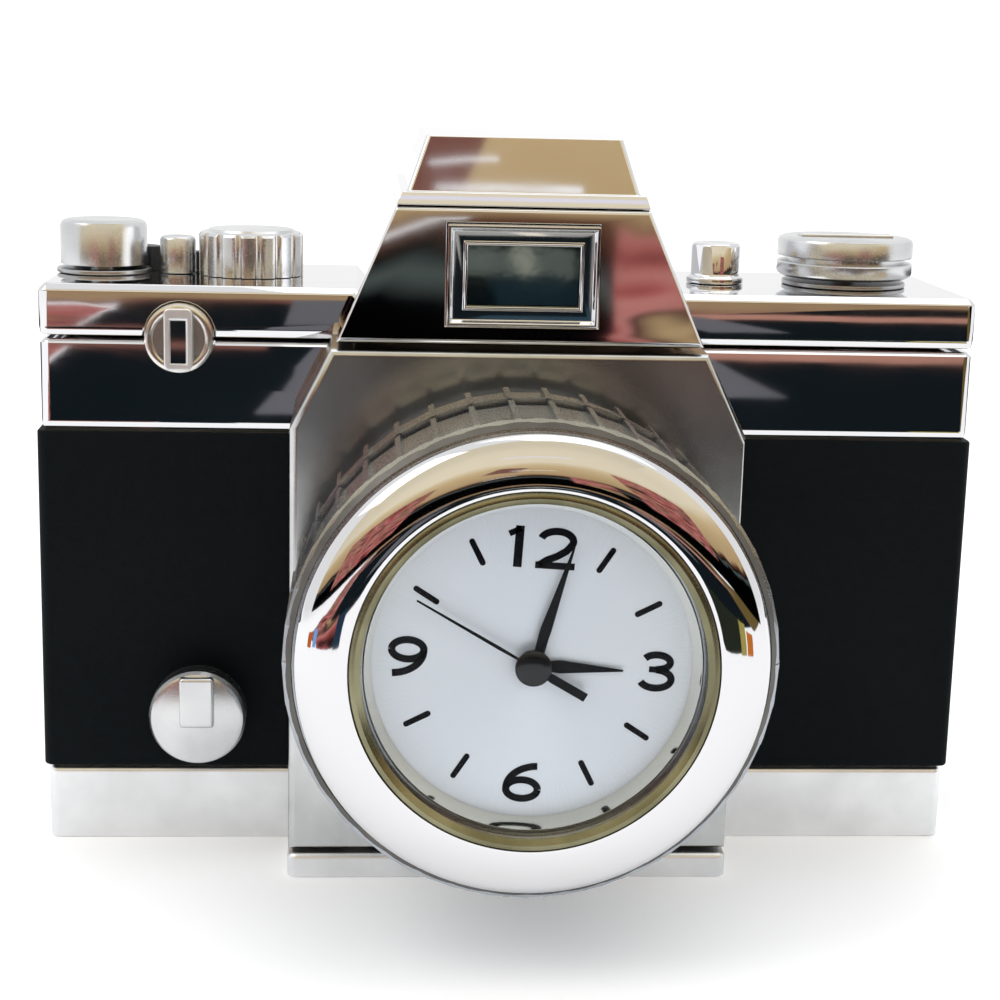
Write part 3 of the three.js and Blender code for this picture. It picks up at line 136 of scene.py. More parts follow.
# %% [markdown]
# ## Bright chrome plating
# The casting is polished, plated with copper and nickel and then with chrome. The eye sees a
# mirror with a faint cool tint. A polished casting is never quite flat, so its reflections swim a
# little: a noise of a few millimetres through a weak bump gives that. A wider noise makes some
# places less sharp, as fingers and dust do.

# %% Chrome
def chrome_plating(name, tint, roughness, swim):
    material, shader, place = new_material(name, {"Base Color": colour(tint), "Metallic": 1})
    haze = noise_of(material, place, 9, 3)
    roughness_by(material, shader, haze, (0.35, 0.7), (roughness, roughness * 2))
    lumps = noise_of(material, place, 7, 1)
    bump_by(material, shader, lumps, swim, 0.02)
    return material


chrome = chrome_plating("bright_chrome_on_zinc", "#d8d8da", 0.025, 0.3)
reflector_silver = chrome_plating("silvered_inner_wall", "#f3f1e8", 0.06, 0.1)
print("chrome finishes:", chrome.name, reflector_silver.name)

# %% [markdown]
# ## Satin metal
# The knobs, the rings of the lens, the mount and the plates under the body are blasted or brushed
# before plating, so they shine softly. The blast pits are less than 0.1 mm across: a fine noise
# drives both a bump and the roughness. A slow noise shifts the colour a little, as plating that
# differs in thickness does. One function serves all of them, and each has its own tint.

# %% Satin metals
def satin_metal(name, tint, shade, roughness, pit_mm=0.07, depth=0.05):
    material, shader, place = new_material(name, {"Metallic": 1})
    cloud = noise_of(material, place, 5, 4)
    tint_by(material, shader, cloud, [(0.35, shade), (0.65, tint)])
    pits = noise_of(material, place, pit_mm, 2)
    roughness_by(material, shader, pits, (0.3, 0.7), (roughness * 0.85, roughness * 1.2))
    bump_by(material, shader, pits, depth, pit_mm * 0.1)
    return material


knob_satin = satin_metal("satin_nickel_knobs", "#d4d5d6", "#c5c6c8", 0.24)
mount_satin = satin_metal("grey_satin_lens_mount", "#c9cbcb", "#b7b9b9", 0.18)
grip_satin = satin_metal("grey_satin_grip_rings", "#aeb3b9", "#9ba0a6", 0.26)
plate_satin = satin_metal("pale_satin_plates", "#eceef0", "#dfe1e3", 0.36)
door_metal = satin_metal("satin_back_door", "#bdbdbb", "#adadab", 0.33)
steel = satin_metal("bright_steel", "#b4b5b7", "#a2a3a6", 0.3)
brass = satin_metal("pressed_brass", "#c7a55c", "#b08f4a", 0.32)
copper_wire = satin_metal("enamelled_copper_wire", "#a65f35", "#8a4a27", 0.34, 0.08, 0.8)
antique_brass = satin_metal("olive_gold_ring", "#8e8b70", "#737058", 0.24)
worn_chrome = satin_metal("satin_worn_chrome", "#e4e2dd", "#d2d0cb", 0.2)
# A darker satin, for the slope in front of the lip of the front ring.
dark_slope_satin = satin_metal("darkened_slope_satin", "#6a6865", "#585653", 0.4)
print("satin finishes are ready, with chrome", len(bpy.data.materials), "materials")

# %% [markdown]
# ## Leather cloth
# The black covering is embossed vinyl on cloth. It is nearly black with a green-blue cast, and its
# pebbles are only 0.4 mm wide, so from arm's length it reads as a soft black with a faint grain.
# Voronoi cells make the pebbles, a noise breaks up their regularity, and a wide noise dulls the
# sheen here and there.

# %% Leather cloth
def leather_cloth():
    material, shader, place = new_material("black_leather_cloth", {"Specular IOR Level": 0.08})
    settings = [("Scale", per_metre(0.42)), ("Randomness", 0.9)]
    pebbles = add_node(material, "TexVoronoi", settings, [("Vector", place, "Object")])
    wrinkle = noise_of(material, place, 0.9, 5)
    height = add_node(
        material, "Math", [("operation", "MULTIPLY_ADD"), (1, 0.6)],
        [(0, wrinkle, "Fac"), (2, pebbles, "Distance")],
    )
    bump_by(material, shader, height, 0.35, 0.05, "Value")
    tint_by(material, shader, wrinkle, [(0, "#04080a"), (1, "#0a1114")])
    dulling = noise_of(material, place, 12, 3)
    roughness_by(material, shader, dulling, (0.3, 0.7), (0.5, 0.68))
    return material


leather = leather_cloth()
print("the leather is", leather.name)

# %% [markdown]
# ## Plastic, rubber, ink and the circuit board
# These are moulded or printed. Moulded plastic has a fine spark-eroded grain, rubber is duller and
# coarser, and the hands and figures are a matt black paint. They differ in colour, roughness and
# grain size alone, so one function makes them. The pane of the false window is smoked glass with a
# mirror behind it, so it is made as a dark metal that is nearly smooth.

# %% Moulded and painted finishes
def moulded(name, tint, shade, roughness, grain_mm, depth, shine=0.5):
    surface = {"Roughness": roughness, "Specular IOR Level": shine}
    material, shader, place = new_material(name, surface)
    grain = noise_of(material, place, grain_mm, 3)
    tint_by(material, shader, grain, [(0, shade), (1, tint)])
    bump_by(material, shader, grain, depth, grain_mm * 0.1)
    return material


black_plastic = moulded("black_moulded_abs", "#3b3d3f", "#2d2f31", 0.45, 0.15, 0.3)
rubber = moulded("black_grip_rubber", "#262626", "#1a1a1a", 0.8, 0.3, 0.5, 0.3)
hand_black = moulded("black_hand_enamel", "#0c0c11", "#08080c", 0.4, 0.4, 0.1, 0.15)
dial_ink = moulded("black_dial_ink", "#101017", "#0b0b11", 0.6, 0.2, 0.1, 0.1)
circuit_green = moulded("green_circuit_lacquer", "#24573f", "#1b4431", 0.3, 0.5, 0.1)
hub_lacquer = moulded("black_hub_lacquer", "#0a0a0d", "#060608", 0.15, 0.6, 0.02, 0.5)
dark_window = satin_metal("smoked_mirror_glass", "#848f8c", "#6f7a77", 0.05, 2, 0.02)

# %% [markdown]
# ## The dial's sunburst
# The dial is silvered brass, brushed from the centre outwards. The brush lines throw the light
# into bright and dim fans that turn as the head moves. So the sheen is made, and not painted: the
# metal is anisotropic, and its tangent runs round the centre. The lines themselves are a noise
# that changes only with the angle round the centre.

# %% Sunburst silver
def sunburst_silver(centre):
    material, shader, place = new_material(
        "sunburst_silver_dial", {"Metallic": 0.3, "Anisotropic": 0.75, "Roughness": 0.36},
    )
    settings = [("operation", "SUBTRACT"), (1, centre)]
    middle = add_node(material, "VectorMath", settings, [(0, place, "Object")])
    settings = [("operation", "CROSS_PRODUCT"), (1, (0, 1, 0))]
    tangent = add_node(material, "VectorMath", settings, [(0, middle, "Vector")])
    join_nodes(material, tangent, "Vector", shader, "Tangent")
    parts = add_node(material, "SeparateXYZ", links=[("Vector", middle, "Vector")])
    links = [(0, parts, "X"), (1, parts, "Z")]
    angle = add_node(material, "Math", [("operation", "ARCTAN2")], links)
    lines_in_a_turn = 700
    settings = [("noise_dimensions", "1D"), ("Scale", lines_in_a_turn / math.tau), ("Detail", 4)]
    lines = add_node(material, "TexNoise", settings, [("W", angle, "Value")])
    tint_by(material, shader, lines, [(0.3, "#eeeff5"), (0.7, "#f7f7fb")])
    bump_by(material, shader, lines, 0.05, 0.01)
    return material


dial_low, dial_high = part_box("dial")
dial_centre = (dial_low + dial_high) / 2
silver_dial = sunburst_silver(dial_centre)
print("the dial is", round((dial_high.x - dial_low.x) / mm, 2), "mm across")

# %% [markdown]
# ## The crystal
# The crystal is flat mineral glass. Nearly all the light goes straight through it, and a little is
# mirrored, more at a grazing angle. A real refracting glass would darken what lies behind it, so
# a clear shader is mixed with a mirror by the Fresnel law instead. Its index is set low, as an
# anti-glare coating makes it, so that the hands stay black.

# %% Crystal glass
def crystal_glass():
    material = bpy.data.materials.new("mineral_glass_crystal")
    material.use_nodes = True
    tree = material.node_tree
    tree.nodes.remove(tree.nodes["Principled BSDF"])
    output = tree.nodes["Material Output"]
    clear = add_node(material, "BsdfTransparent", [("Color", colour("#f6f8f9"))])
    mirror = add_node(material, "BsdfGlossy", [("Roughness", 0.02)])
    edge = add_node(material, "Fresnel", [("IOR", 1.13)])
    links = [(0, edge, "Fac"), (1, clear, "BSDF"), (2, mirror, "BSDF")]
    mixed = add_node(material, "MixShader", links=links)
    join_nodes(material, mixed, "Shader", output, "Surface")
    return material


crystal = crystal_glass()

# %% [markdown]
# ## Which finish goes where
# The record of the solid model sorts its nodes into slots, one for each real finish. Each slot
# gets its material here, so a node that stays as it is and a piece that takes its place wear the
# same finish.

# %% Slots
finish_of_slot = {
    "chrome": chrome, "satin_metal": knob_satin, "mount_grey": mount_satin,
    "base_satin": plate_satin, "door_metal": door_metal, "leather_cloth": leather,
    "window_glass": dark_window, "crystal_glass": crystal, "antique_brass": antique_brass,
    "dial_silver": silver_dial, "dial_wall": reflector_silver, "hand_black": hand_black,
    "rubber": rubber, "steel": steel, "brass": brass, "copper_wire": copper_wire,
    "black_plastic": black_plastic, "circuit_green": circuit_green,
}
slot_of_node = {part["node"]: part["material_slot"] for part in frame["record"]["subparts"]}
body_of_node = {}
for body, members in frame["record"]["behaviour"]["bodies"].items():
    for node in members:
        body_of_node[node] = body


def wear(piece, material):
    piece.data.materials.clear()
    piece.data.materials.append(material)


for name, node in nodes.items():
    wear(node, finish_of_slot[slot_of_node[name]])
print(len(nodes), "nodes wear", len(finish_of_slot), "finishes")

# %% [markdown]
# ## Rounding the edges of a cast piece
# No real edge is sharp: polishing wears it to a radius of a tenth of a millimetre or two, and that
# narrow curve catches a bright line of light. A node's mesh is loose triangles, so a copy of it is
# welded, its flat faces are made whole again, and a bevel rounds its corners. The copy then stands
# for the node.

# %% Helpers that take a node's place
def unselect_all():
    bpy.ops.object.select_all(action="DESELECT")


def select_only(piece):
    unselect_all()
    piece.select_set(True)
    bpy.context.view_layer.objects.active = piece


def new_object(name, data):
    piece = bpy.data.objects.new(name, data)
    bpy.context.scene.collection.objects.link(piece)
    return piece


def joined(pieces):
    """Makes one piece of several."""
    unselect_all()
    for piece in pieces:
        piece.select_set(True)
    bpy.context.view_layer.objects.active = pieces[0]
    bpy.ops.object.join()
    return pieces[0]


def end_edit():
    bpy.ops.object.mode_set(mode="OBJECT")


def edit_all():
    bpy.ops.object.mode_set(mode="EDIT")
    bpy.ops.mesh.select_all(action="SELECT")


def unselect_parts(piece):
    """Leaves edit mode, and no point, edge or face stays selected."""
    end_edit()
    for parts in (piece.data.vertices, piece.data.edges, piece.data.polygons):
        for part in parts:
            part.select = False


def edit_selected(kind):
    """Enters edit mode, and whole points, edges or faces of this kind count as selected."""
    bpy.ops.object.mode_set(mode="EDIT")
    bpy.ops.mesh.select_mode(type=kind)


def stand_for(piece, node):
    """The piece moves, is finished and is shown in place of this node."""
    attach(piece, body_of_node[node])
    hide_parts(node)
    wear(piece, finish_of_slot[slot_of_node[node]])
    return piece


def modify(piece, name, kind, **settings):
    """Gives the active piece a modifier and applies it."""
    modifier = piece.modifiers.new(name, kind)
    for setting, value in settings.items():
        setattr(modifier, setting, value)
    bpy.ops.object.modifier_apply(modifier=modifier.name)


def round_edges(piece, width_mm, segments, smooth_degrees=35):
    """Rounds the corners; the weighted normals keep the flat faces between them looking flat."""
    select_only(piece)
    angle = math.radians(smooth_degrees)
    modify(piece, "worn edges", "BEVEL",
           width=width_mm * mm, segments=segments, limit_method="ANGLE", angle_limit=angle)
    bpy.ops.object.shade_smooth_by_angle(angle=angle)
    modify(piece, "flat faces stay flat", "WEIGHTED_NORMAL", weight=100, keep_sharp=True)


def no_change(piece):
    return piece


def rounded_copy(node, edge_mm, segments=3, reshape=no_change):
    weld_mm, flat_degrees = 0.002, 0.5
    piece = new_object("shown_" + node, nodes[node].data.copy())
    select_only(piece)
    edit_all()
    bpy.ops.mesh.remove_doubles(threshold=weld_mm * mm)
    bpy.ops.mesh.dissolve_limited(angle_limit=math.radians(flat_degrees))
    end_edit()
    reshape(piece)
    round_edges(piece, edge_mm, segments)
    stand_for(piece, node)
    return piece


def block_piece(name, low_mm, high_mm, edge_mm, segments=4):
    """A block between two corners, with its edges rounded."""
    bpy.ops.mesh.primitive_cube_add(size=1)
    piece = bpy.context.object
    piece.name = name
    piece.location = [(a + b) / 2 * mm for a, b in zip(low_mm, high_mm)]
    piece.scale = [(b - a) * mm for a, b in zip(low_mm, high_mm)]
    bpy.ops.object.transform_apply(location=True, rotation=True, scale=True)
    if edge_mm > 0:
        round_edges(piece, edge_mm, segments)
    return piece


def dress(piece, body, material):
    """Says what a piece rides on and wears that the solid model holds as part of a node."""
    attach(piece, body)
    wear(piece, material)


# %% [markdown]
# ## Body plates and castings
# The chrome band and the top plate are polished hardest. Along the grooves their edges roll over
# slowly, tall and shallow, so each groove has a light line beside it: the rolled edge leans down
# and mirrors the white paper. The 45 degree edges of the copies are pulled into that shape, points
# at one height at a time, before they are rounded. The lens mount and the lower plates are crisper.

# %% Roll the edges beside the grooves
close_mm = 0.01


def points_at(piece, height_mm):
    """Enters edit mode with only the points at this height selected, and counts them."""
    unselect_parts(piece)
    for vertex in piece.data.vertices:
        vertex.select = abs(vertex.co.z / mm - height_mm) < close_mm
    chosen = len([vertex for vertex in piece.data.vertices if vertex.select])
    edit_selected("VERT")
    return chosen


def roll_edge(piece, face_mm, bevel_mm, tall_mm, shallow_mm):
    """Turns the 45 degree edge next to the face at this height into a tall and shallow one."""
    low, high = [Vector(corner) for corner in (piece.bound_box[0], piece.bound_box[6])]
    middle = (low + high) / 2
    half_x, half_y = (high.x - low.x) / 2 / mm, (high.y - low.y) / 2 / mm
    upward_edge = face_mm * mm > middle.z
    wall_mm = face_mm - bevel_mm if upward_edge else face_mm + bevel_mm
    on_face = points_at(piece, face_mm)
    grow = [(half - shallow_mm) / (half - bevel_mm) for half in (half_x, half_y)]
    bpy.ops.transform.resize(value=(grow[0], grow[1], 1), center_override=middle)
    on_wall = points_at(piece, wall_mm)
    further = (bevel_mm - tall_mm) if upward_edge else (tall_mm - bevel_mm)
    bpy.ops.transform.translate(value=(0, 0, further * mm))
    end_edit()
    print(piece.name, "edge at", round(face_mm, 2), "mm:", on_face, "and", on_wall, "points")


def roll_top_plate(piece):
    roll_edge(piece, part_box("top_plate")[0].z / mm, bevel_mm=0.35, tall_mm=0.7, shallow_mm=0.17)


def roll_band(piece):
    above_leather = 0.3
    band_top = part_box("body_casting")[1].z / mm
    band_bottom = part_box("left_leather")[1].z / mm + above_leather
    roll_edge(piece, band_top, bevel_mm=0.35, tall_mm=0.8, shallow_mm=0.17)
    roll_edge(piece, band_bottom, bevel_mm=0.5, tall_mm=0.6, shallow_mm=0.14)


# %% [markdown]
# The outline of the mount's front and the two leaning corners of the prism are rubbed down further,
# to a radius near half a millimetre. In the photo they are the broadest light lines of all.

# %% Round the boldest edges
def bevel_where(piece, chosen, radius_mm):
    """Rounds the edges whose two ends, in millimetres, pass the test."""
    unselect_parts(piece)
    ends = [vertex.co / mm for vertex in piece.data.vertices]
    for edge in piece.data.edges:
        edge.select = chosen(ends[edge.vertices[0]], ends[edge.vertices[1]])
    count = len([edge for edge in piece.data.edges if edge.select])
    edit_selected("EDGE")
    bpy.ops.mesh.bevel(offset=radius_mm * mm, segments=6, affect="EDGES")
    end_edit()
    print(piece.name, count, "edges rounded to", radius_mm, "mm")


def round_mount_outline(piece):
    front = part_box("lens_mount_housing")[0].y / mm
    lens_axis = sum(corner.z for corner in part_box("lens_bezel")) / 2 / mm
    outline_reach = 17

    def on_outline(point):
        from_axis = math.hypot(point.x, point.z - lens_axis)
        return point.y < front + close_mm and from_axis > outline_reach

    bevel_where(piece, lambda a, b: on_outline(a) and on_outline(b), 0.5)


def round_prism_corners(piece):
    front = piece.bound_box[0][1] / mm
    outside_window, near_front, shortest = 7, 1.5, 3

    def leans(a, b):
        at_corner = min(abs(a.x), abs(b.x)) > outside_window and a.x * b.x > 0
        return at_corner and max(a.y, b.y) < front + near_front and abs(a.z - b.z) > shortest

    bevel_where(piece, leans, 0.35)


# %% Round the cast pieces
reshape_of = {
    "top_plate": roll_top_plate,
    "body_casting": roll_band,
    "lens_mount_housing": round_mount_outline,
    "prism_housing": round_prism_corners,
    "prism_cap": round_prism_corners,
}
edge_of_cast_piece = {
    "body_casting": 0.1, "top_plate": 0.1, "prism_housing": 0.1, "prism_cap": 0.1,
    "bottom_plate": 0.2, "mount_foot": 0.16, "lens_mount_housing": 0.1, "back_door": 0.12,
    "left_leather": 0.18, "right_leather": 0.18, "back_leather": 0.2, "front_key": 0.2,
    "eyepiece_frame": 0.2, "advance_lever": 0.2, "aperture_ring": 0.09, "focus_ring": 0.09,
}
for node, edge_mm in edge_of_cast_piece.items():
    piece = rounded_copy(node, edge_mm, reshape=reshape_of.get(node, no_change))
    print(piece.name, len(piece.data.polygons), "faces")

# These three differ a little in tint from the rest of their slots.
wear(bpy.data.objects["shown_front_key"], plate_satin)
for name in ("shown_aperture_ring", "shown_focus_ring"):
    wear(bpy.data.objects[name], grip_satin)

# %% [markdown]
# ## The false window
# The frame is a picture frame in small: a thin ridge outside, a flat bar sunk behind it, a second
# thin ridge, and the dark pane. A block is made, its front face is inset again and again, with
# depth where the frame steps, and the last face is taken out. The frame and its pane lean a little
# forward, so that the pane mirrors the table.

# %% Window frame and pane
def lean(piece, centre, degrees):
    """Turns the points of the piece about a line across the clock."""
    select_only(piece)
    edit_all()
    bpy.ops.transform.rotate(value=math.radians(degrees), orient_axis="X", center_override=centre)
    end_edit()


def select_front_face(piece):
    """Enters edit mode with only the face nearest to the camera selected."""
    unselect_parts(piece)
    min(piece.data.polygons, key=lambda face: face.center.y).select = True
    edit_selected("FACE")


low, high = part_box("window_frame")
window_centre = (low + high) / 2
lean_degrees, lean_takes = -3.3, 0.45
frame_depth = (high.y - low.y) / mm - lean_takes
frame_back = window_centre.y / mm + frame_depth / 2
frame_low = (low.x / mm, frame_back - frame_depth, low.z / mm)
frame_high = (high.x / mm, frame_back, high.z / mm)
window = block_piece("shown_window_frame", frame_low, frame_high, 0)
select_front_face(window)
inset_steps = [(0.25, 0), (0.2, -0.3), (0.78, 0), (0.1, 0.2), (0.18, 0), (0.02, -0.5)]
for thickness, depth in inset_steps:
    bpy.ops.mesh.inset(thickness=thickness * mm, depth=depth * mm)
bpy.ops.mesh.delete(type="FACE")
end_edit()
round_edges(window, 0.06, 2)
lean(window, window_centre, lean_degrees)
stand_for(window, "window_frame")
pane_inset, pane_sunk, pane_thickness = 1.5, 0.65, 0.3
pane_front = frame_back - frame_depth + pane_sunk
pane = block_piece(
    "shown_window_pane",
    (low.x / mm + pane_inset, pane_front, low.z / mm + pane_inset),
    (high.x / mm - pane_inset, pane_front + pane_thickness, high.z / mm - pane_inset), 0.03, 2,
)
lean(pane, window_centre, lean_degrees)
stand_for(pane, "window_pane")
print("the frame is", round(frame_depth, 2), "mm deep")

# %% [markdown]
# ## Turned pieces
# Knobs, rings and the bezel come off a lathe. A circle of points is added, each point is put at
# its place in the profile, and spin carries the profile round its axis. The points that meet on
# the axis are welded, and what is left of the line along it is removed. A profile is a list of
# (radius, reach) pairs in millimetres; reach is measured along the axis from the piece's foot. A
# rim is drawn from its corner instead: how far in, and how far down.

# %% A lathe
lens_forward = Vector((0, -1, 0))
upward = Vector((0, 0, 1))
turned_smooth_degrees, turned_weld_mm = 28, 0.0015


def turned_piece(name, profile, foot, axis, edge_mm=0.08, steps=96):
    bpy.ops.mesh.primitive_circle_add(vertices=len(profile), radius=mm)
    piece = bpy.context.object
    piece.name = name
    for vertex, (radius, reach) in zip(piece.data.vertices, profile):
        vertex.co = foot + (Vector((1, 0, 0)) * radius + axis * reach) * mm
    edit_all()
    bpy.ops.mesh.spin(steps=steps, angle=math.tau, center=foot, axis=axis)
    bpy.ops.mesh.select_all(action="SELECT")
    bpy.ops.mesh.remove_doubles(threshold=turned_weld_mm * mm)
    bpy.ops.mesh.delete_loose(use_verts=True, use_edges=True, use_faces=False)
    bpy.ops.mesh.select_all(action="SELECT")
    bpy.ops.mesh.normals_make_consistent(inside=False)
    end_edit()
    if edge_mm > 0:
        round_edges(piece, edge_mm, 3, turned_smooth_degrees)
    else:
        select_only(piece)
        bpy.ops.object.shade_smooth_by_angle(angle=math.radians(turned_smooth_degrees))
    return piece


def rim(radius, length, cuts):
    """Points of a profile, each given by how far it is in from the radius and down from the end."""
    return [(radius - inward, length - down) for inward, down in cuts]


def node_measures(node, axis):
    """The foot of a round node on its axis, its radius and its length, in millimetres."""
    low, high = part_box(node)
    middle = (low + high) / 2
    ends = [low[i] if axis[i] > 0 else high[i] for i in range(3)]
    foot = Vector([middle[i] if axis[i] == 0 else ends[i] for i in range(3)])
    across = 0 if axis[0] == 0 else 1
    length = abs((high - low).dot(axis))
    return foot, (high[across] - low[across]) / 2 / mm, length / mm


def turned_node(node, profile_of, axis=upward, edge_mm=0.08, steps=96):
    """Turns a node again with more sides; its profile follows from its radius and its length."""
    foot, radius, length = node_measures(node, axis)
    piece = turned_piece("shown_" + node, profile_of(radius, length), foot, axis, edge_mm, steps)
    return stand_for(piece, node)


# %% [markdown]
# ## The chrome bezel and the clock's ring
# The bezel is the boldest mirror of all, a dome that carries the eye from the grip rings to the
# dial. Its section is a short straight edge and then a quarter of an ellipse. The olive gold ring
# inside it belongs to the clock insert: a thin lip with a rounded front, and a slope down to the
# glass.

# %% Bezel and ring
def quarter_ellipse(outer, inner, start, end, steps):
    """A quarter of an ellipse from (outer, start) to (inner, end)."""
    points = []
    for i in range(steps + 1):
        angle = math.pi / 2 * i / steps
        radius = inner + (outer - inner) * math.cos(angle)
        points.append((radius, start + (end - start) * math.sin(angle)))
    return points


def bezel_profile(radius, length):
    play, straight_edge = 0.04, 0.5
    bore = node_measures("insert_ring", lens_forward)[1] + play
    dome = quarter_ellipse(radius, bore, straight_edge, length, 16)
    return [(bore, 0), (radius, 0)] + dome


def ring_profile(radius, length):
    return [(radius - 0.45, 0), (radius, 0)] + rim(radius, length, [
        (0, 0.25), (0.1, 0.07), (0.25, 0), (0.43, 0),
        (0.51, 0.05), (0.85, 0.34), (0.85, 0.4), (0.45, 0.4),
    ])


bezel = turned_node("lens_bezel", bezel_profile, lens_forward, 0.05, 128)
ring = turned_node("insert_ring", ring_profile, lens_forward, 0, 128)
print("bezel and ring:", len(bezel.data.polygons), len(ring.data.polygons), "faces")

# %% [markdown]
# ## Barrel, collars and posts
# Below the grip rings the barrel narrows to a neck, and a plain groove parts the two rings. The
# slope in front of the lip of the front ring is made darker: a thin dark ring is turned over
# it. The collars under the knobs, the flash post, the release button and the disc behind the
# front key are turned too. The button and the post have a shallow dish on top, where a finger or a
# shoe would sit. The slot of the front key has a polished floor, so it mirrors the dark room
# inside a light rim.

# %% Barrel
def barrel_profile(radius, length):
    spigot, neck, bore, rear_bore = radius - 2.1, radius - 0.5, radius - 3, radius - 4.2
    back, mount_front, ring_back, case_back = (
        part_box("lens_barrel")[1].y / mm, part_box("lens_mount_housing")[0].y / mm,
        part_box("aperture_ring")[1].y / mm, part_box("insert_case")[1].y / mm,
    )
    play, seat_behind_case = 0.05, 0.3
    shoulder, neck_end = back - mount_front + play, back - ring_back - play
    seat = back - case_back - seat_behind_case
    print("the barrel's neck is", round(neck_end - shoulder, 2), "mm long")
    return [
        (rear_bore, 0), (spigot, 0), (spigot, shoulder), (neck, shoulder), (neck, neck_end),
        (radius, neck_end), (radius, length), (bore, length), (bore, seat), (rear_bore, seat),
    ]


turned_node("lens_barrel", barrel_profile, lens_forward)

# A thin dark ring lies over the slope in front of the lip, so the slope looks darker than the ring.
foot, radius, length = node_measures("focus_ring", lens_forward)
nose_profile = rim(radius, length, [(0.05, 0.62), (0.01, 0.54), (0.64, 0.005), (0.68, 0.08)])
nose = turned_piece("focus_ring_darkened_slope", nose_profile, foot, lens_forward, 0, 128)
dress(nose, body_of_node["focus_ring"], dark_slope_satin)

# %% Collars, button and post
def washer(bore):
    return lambda radius, length: [(bore, 0), (radius, 0), (radius, length), (bore, length)]


def dish(radius, length):
    """A rolled edge, and a shallow hollow inside it."""
    edge = rim(radius, length, [(0, 0.35), (0.12, 0.1), (0.35, 0)])
    return edge + [(radius * 0.6, length - 0.1), (0, length - 0.18)]


def dished_button(radius, length):
    return [(0, 0), (radius, 0)] + dish(radius, length)


def dished_post(radius, length):
    stem = radius - 0.35
    foot_profile = [(0, 0), (radius, 0), (radius, 0.45), (stem + 0.1, 0.6), (stem, 0.75)]
    return foot_profile + dish(stem, length)


spindle, spindle_hole, hands_hole = 1.1, 1.2, 0.96
for collar in ("advance_collar", "rewind_collar"):
    turned_node(collar, washer(spindle_hole))
turned_node("front_knob_base", washer(spindle_hole), lens_forward)
turned_node("release_button", dished_button)
turned_node("flash_post", dished_post)
disc_rim = [(0, 0.22), (0.08, 0.06), (0.22, 0), (0.5, 0), (0.62, 0.06), (0.7, 0.2)]
disc = turned_node("front_disc", lambda radius, length: (
    [(0, 0), (radius, 0)] + rim(radius, length, disc_rim + [(radius, 0.2)])
), lens_forward, 0)
wear(disc, worn_chrome)
low, high = [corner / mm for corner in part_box("front_key")]
key_rim, key_half_deep, play, half_thick = 0.45, 0.25, 0.05, 0.03
slot_y = low.y + key_half_deep
slot_floor = block_piece(
    "front_key_polished_slot",
    (low.x + key_rim + play, slot_y - half_thick, low.z + key_rim + play),
    (high.x - key_rim - play, slot_y + half_thick, high.z - 2 * key_rim - play), 0.02, 2,
)
dress(slot_floor, body_of_node["front_key"], chrome)

# %% [markdown]
# ## Knobs on spindles
# Each knob is one turned piece with its spindle, which passes through the plate. The rewind knob
# has two tiers with a groove between them, and a small crank folded down flat on its face. The
# speed dial is turned too, and then fluted: one cutter is modelled, copied round the rim, and all
# of them are taken away from the dial.

# %% Advance knob, rewind knob and speed dial
def knob_profile(cap, proud=0):
    """A spindle, then the knob from its underside up; something else may stand proud on its top."""
    def profile_of(radius, length):
        outline = cap(radius)
        height = outline[-1][1]
        foot_of_knob = length - proud - height
        raised = [(r, foot_of_knob + h) for r, h in outline]
        return [(0, 0), (spindle, 0), (spindle, foot_of_knob)] + raised
    return profile_of


def advance_cap(radius):
    return [(radius, 0), (radius, 3.15), (radius - 0.16, 3.49), (radius - 0.5, 3.65), (0, 3.65)]


def rewind_cap(radius):
    neck = radius - 0.9
    return [
        (radius - 0.5, 0), (radius - 0.1, 0.22), (radius, 0.45), (radius, 1.2), (radius - 0.1, 1.3),
        (neck, 1.3), (neck, 1.75), (radius - 0.1, 1.75), (radius, 1.85), (radius, 3),
        (radius - 0.12, 3.25), (radius - 0.45, 3.4), (0, 3.4),
    ]


def cut_flutes(piece, centre, ring_radius, flute_radius, count, low, high):
    cutters = []
    for i in range(count):
        angle = math.tau * (i + 0.5) / count
        place = centre + Vector((math.cos(angle), math.sin(angle), 0)) * ring_radius * mm
        bpy.ops.mesh.primitive_cylinder_add(
            vertices=24, radius=flute_radius * mm, depth=(high - low) * mm,
            location=(place.x, place.y, (low + high) / 2 * mm),
        )
        cutters.append(bpy.context.object)
    cutter = joined(cutters)
    select_only(piece)
    modify(piece, "flutes", "BOOLEAN", operation="DIFFERENCE", solver="EXACT", object=cutter)
    bpy.data.objects.remove(cutter)


advance = turned_node("advance_knob", knob_profile(advance_cap), edge_mm=0)
crank_proud = 0.25
rewind = turned_node("rewind_knob", knob_profile(rewind_cap, crank_proud), edge_mm=0)
foot, radius, length = node_measures("rewind_knob", upward)
x, y, face = foot.x / mm, foot.y / mm, foot.z / mm + length - crank_proud
half_long, half_wide, sunk = 4, 0.9, 0.1
crank_low = (x - half_long, y - half_wide, face - sunk)
crank_high = (x + half_long, y + half_wide, face + crank_proud)
crank = block_piece("rewind_crank", crank_low, crank_high, 0.17)
dress(crank, "rewind_knob", knob_satin)

foot, radius, length = node_measures("speed_dial", upward)
dial_profile = [(0, 0), (radius, 0)] + rim(radius, length, [
    (0, 0.5), (0.15, 0.3), (0.45, 0.2), (0.7, 0.2), (0.85, 0), (radius, 0),
])
speed_dial = turned_piece("shown_speed_dial", dial_profile, foot, upward, 0)
base, flute_outside, flute_radius = foot.z / mm, 0.08, 0.32
flutes_at = radius + flute_outside
cut_flutes(speed_dial, foot, flutes_at, flute_radius, 16, base - 1, base + length + 1)
round_edges(speed_dial, 0.06, 2, turned_smooth_degrees)
stand_for(speed_dial, "speed_dial")
print("knobs:", [len(knob.data.polygons) for knob in (advance, rewind, speed_dial)], "faces")

# %% [markdown]
# ## The knob low on the front
# It is a flat disc with a thumb bar raised across its upper half. The disc is turned together with
# its spindle, and the bar is a block with rounded edges.

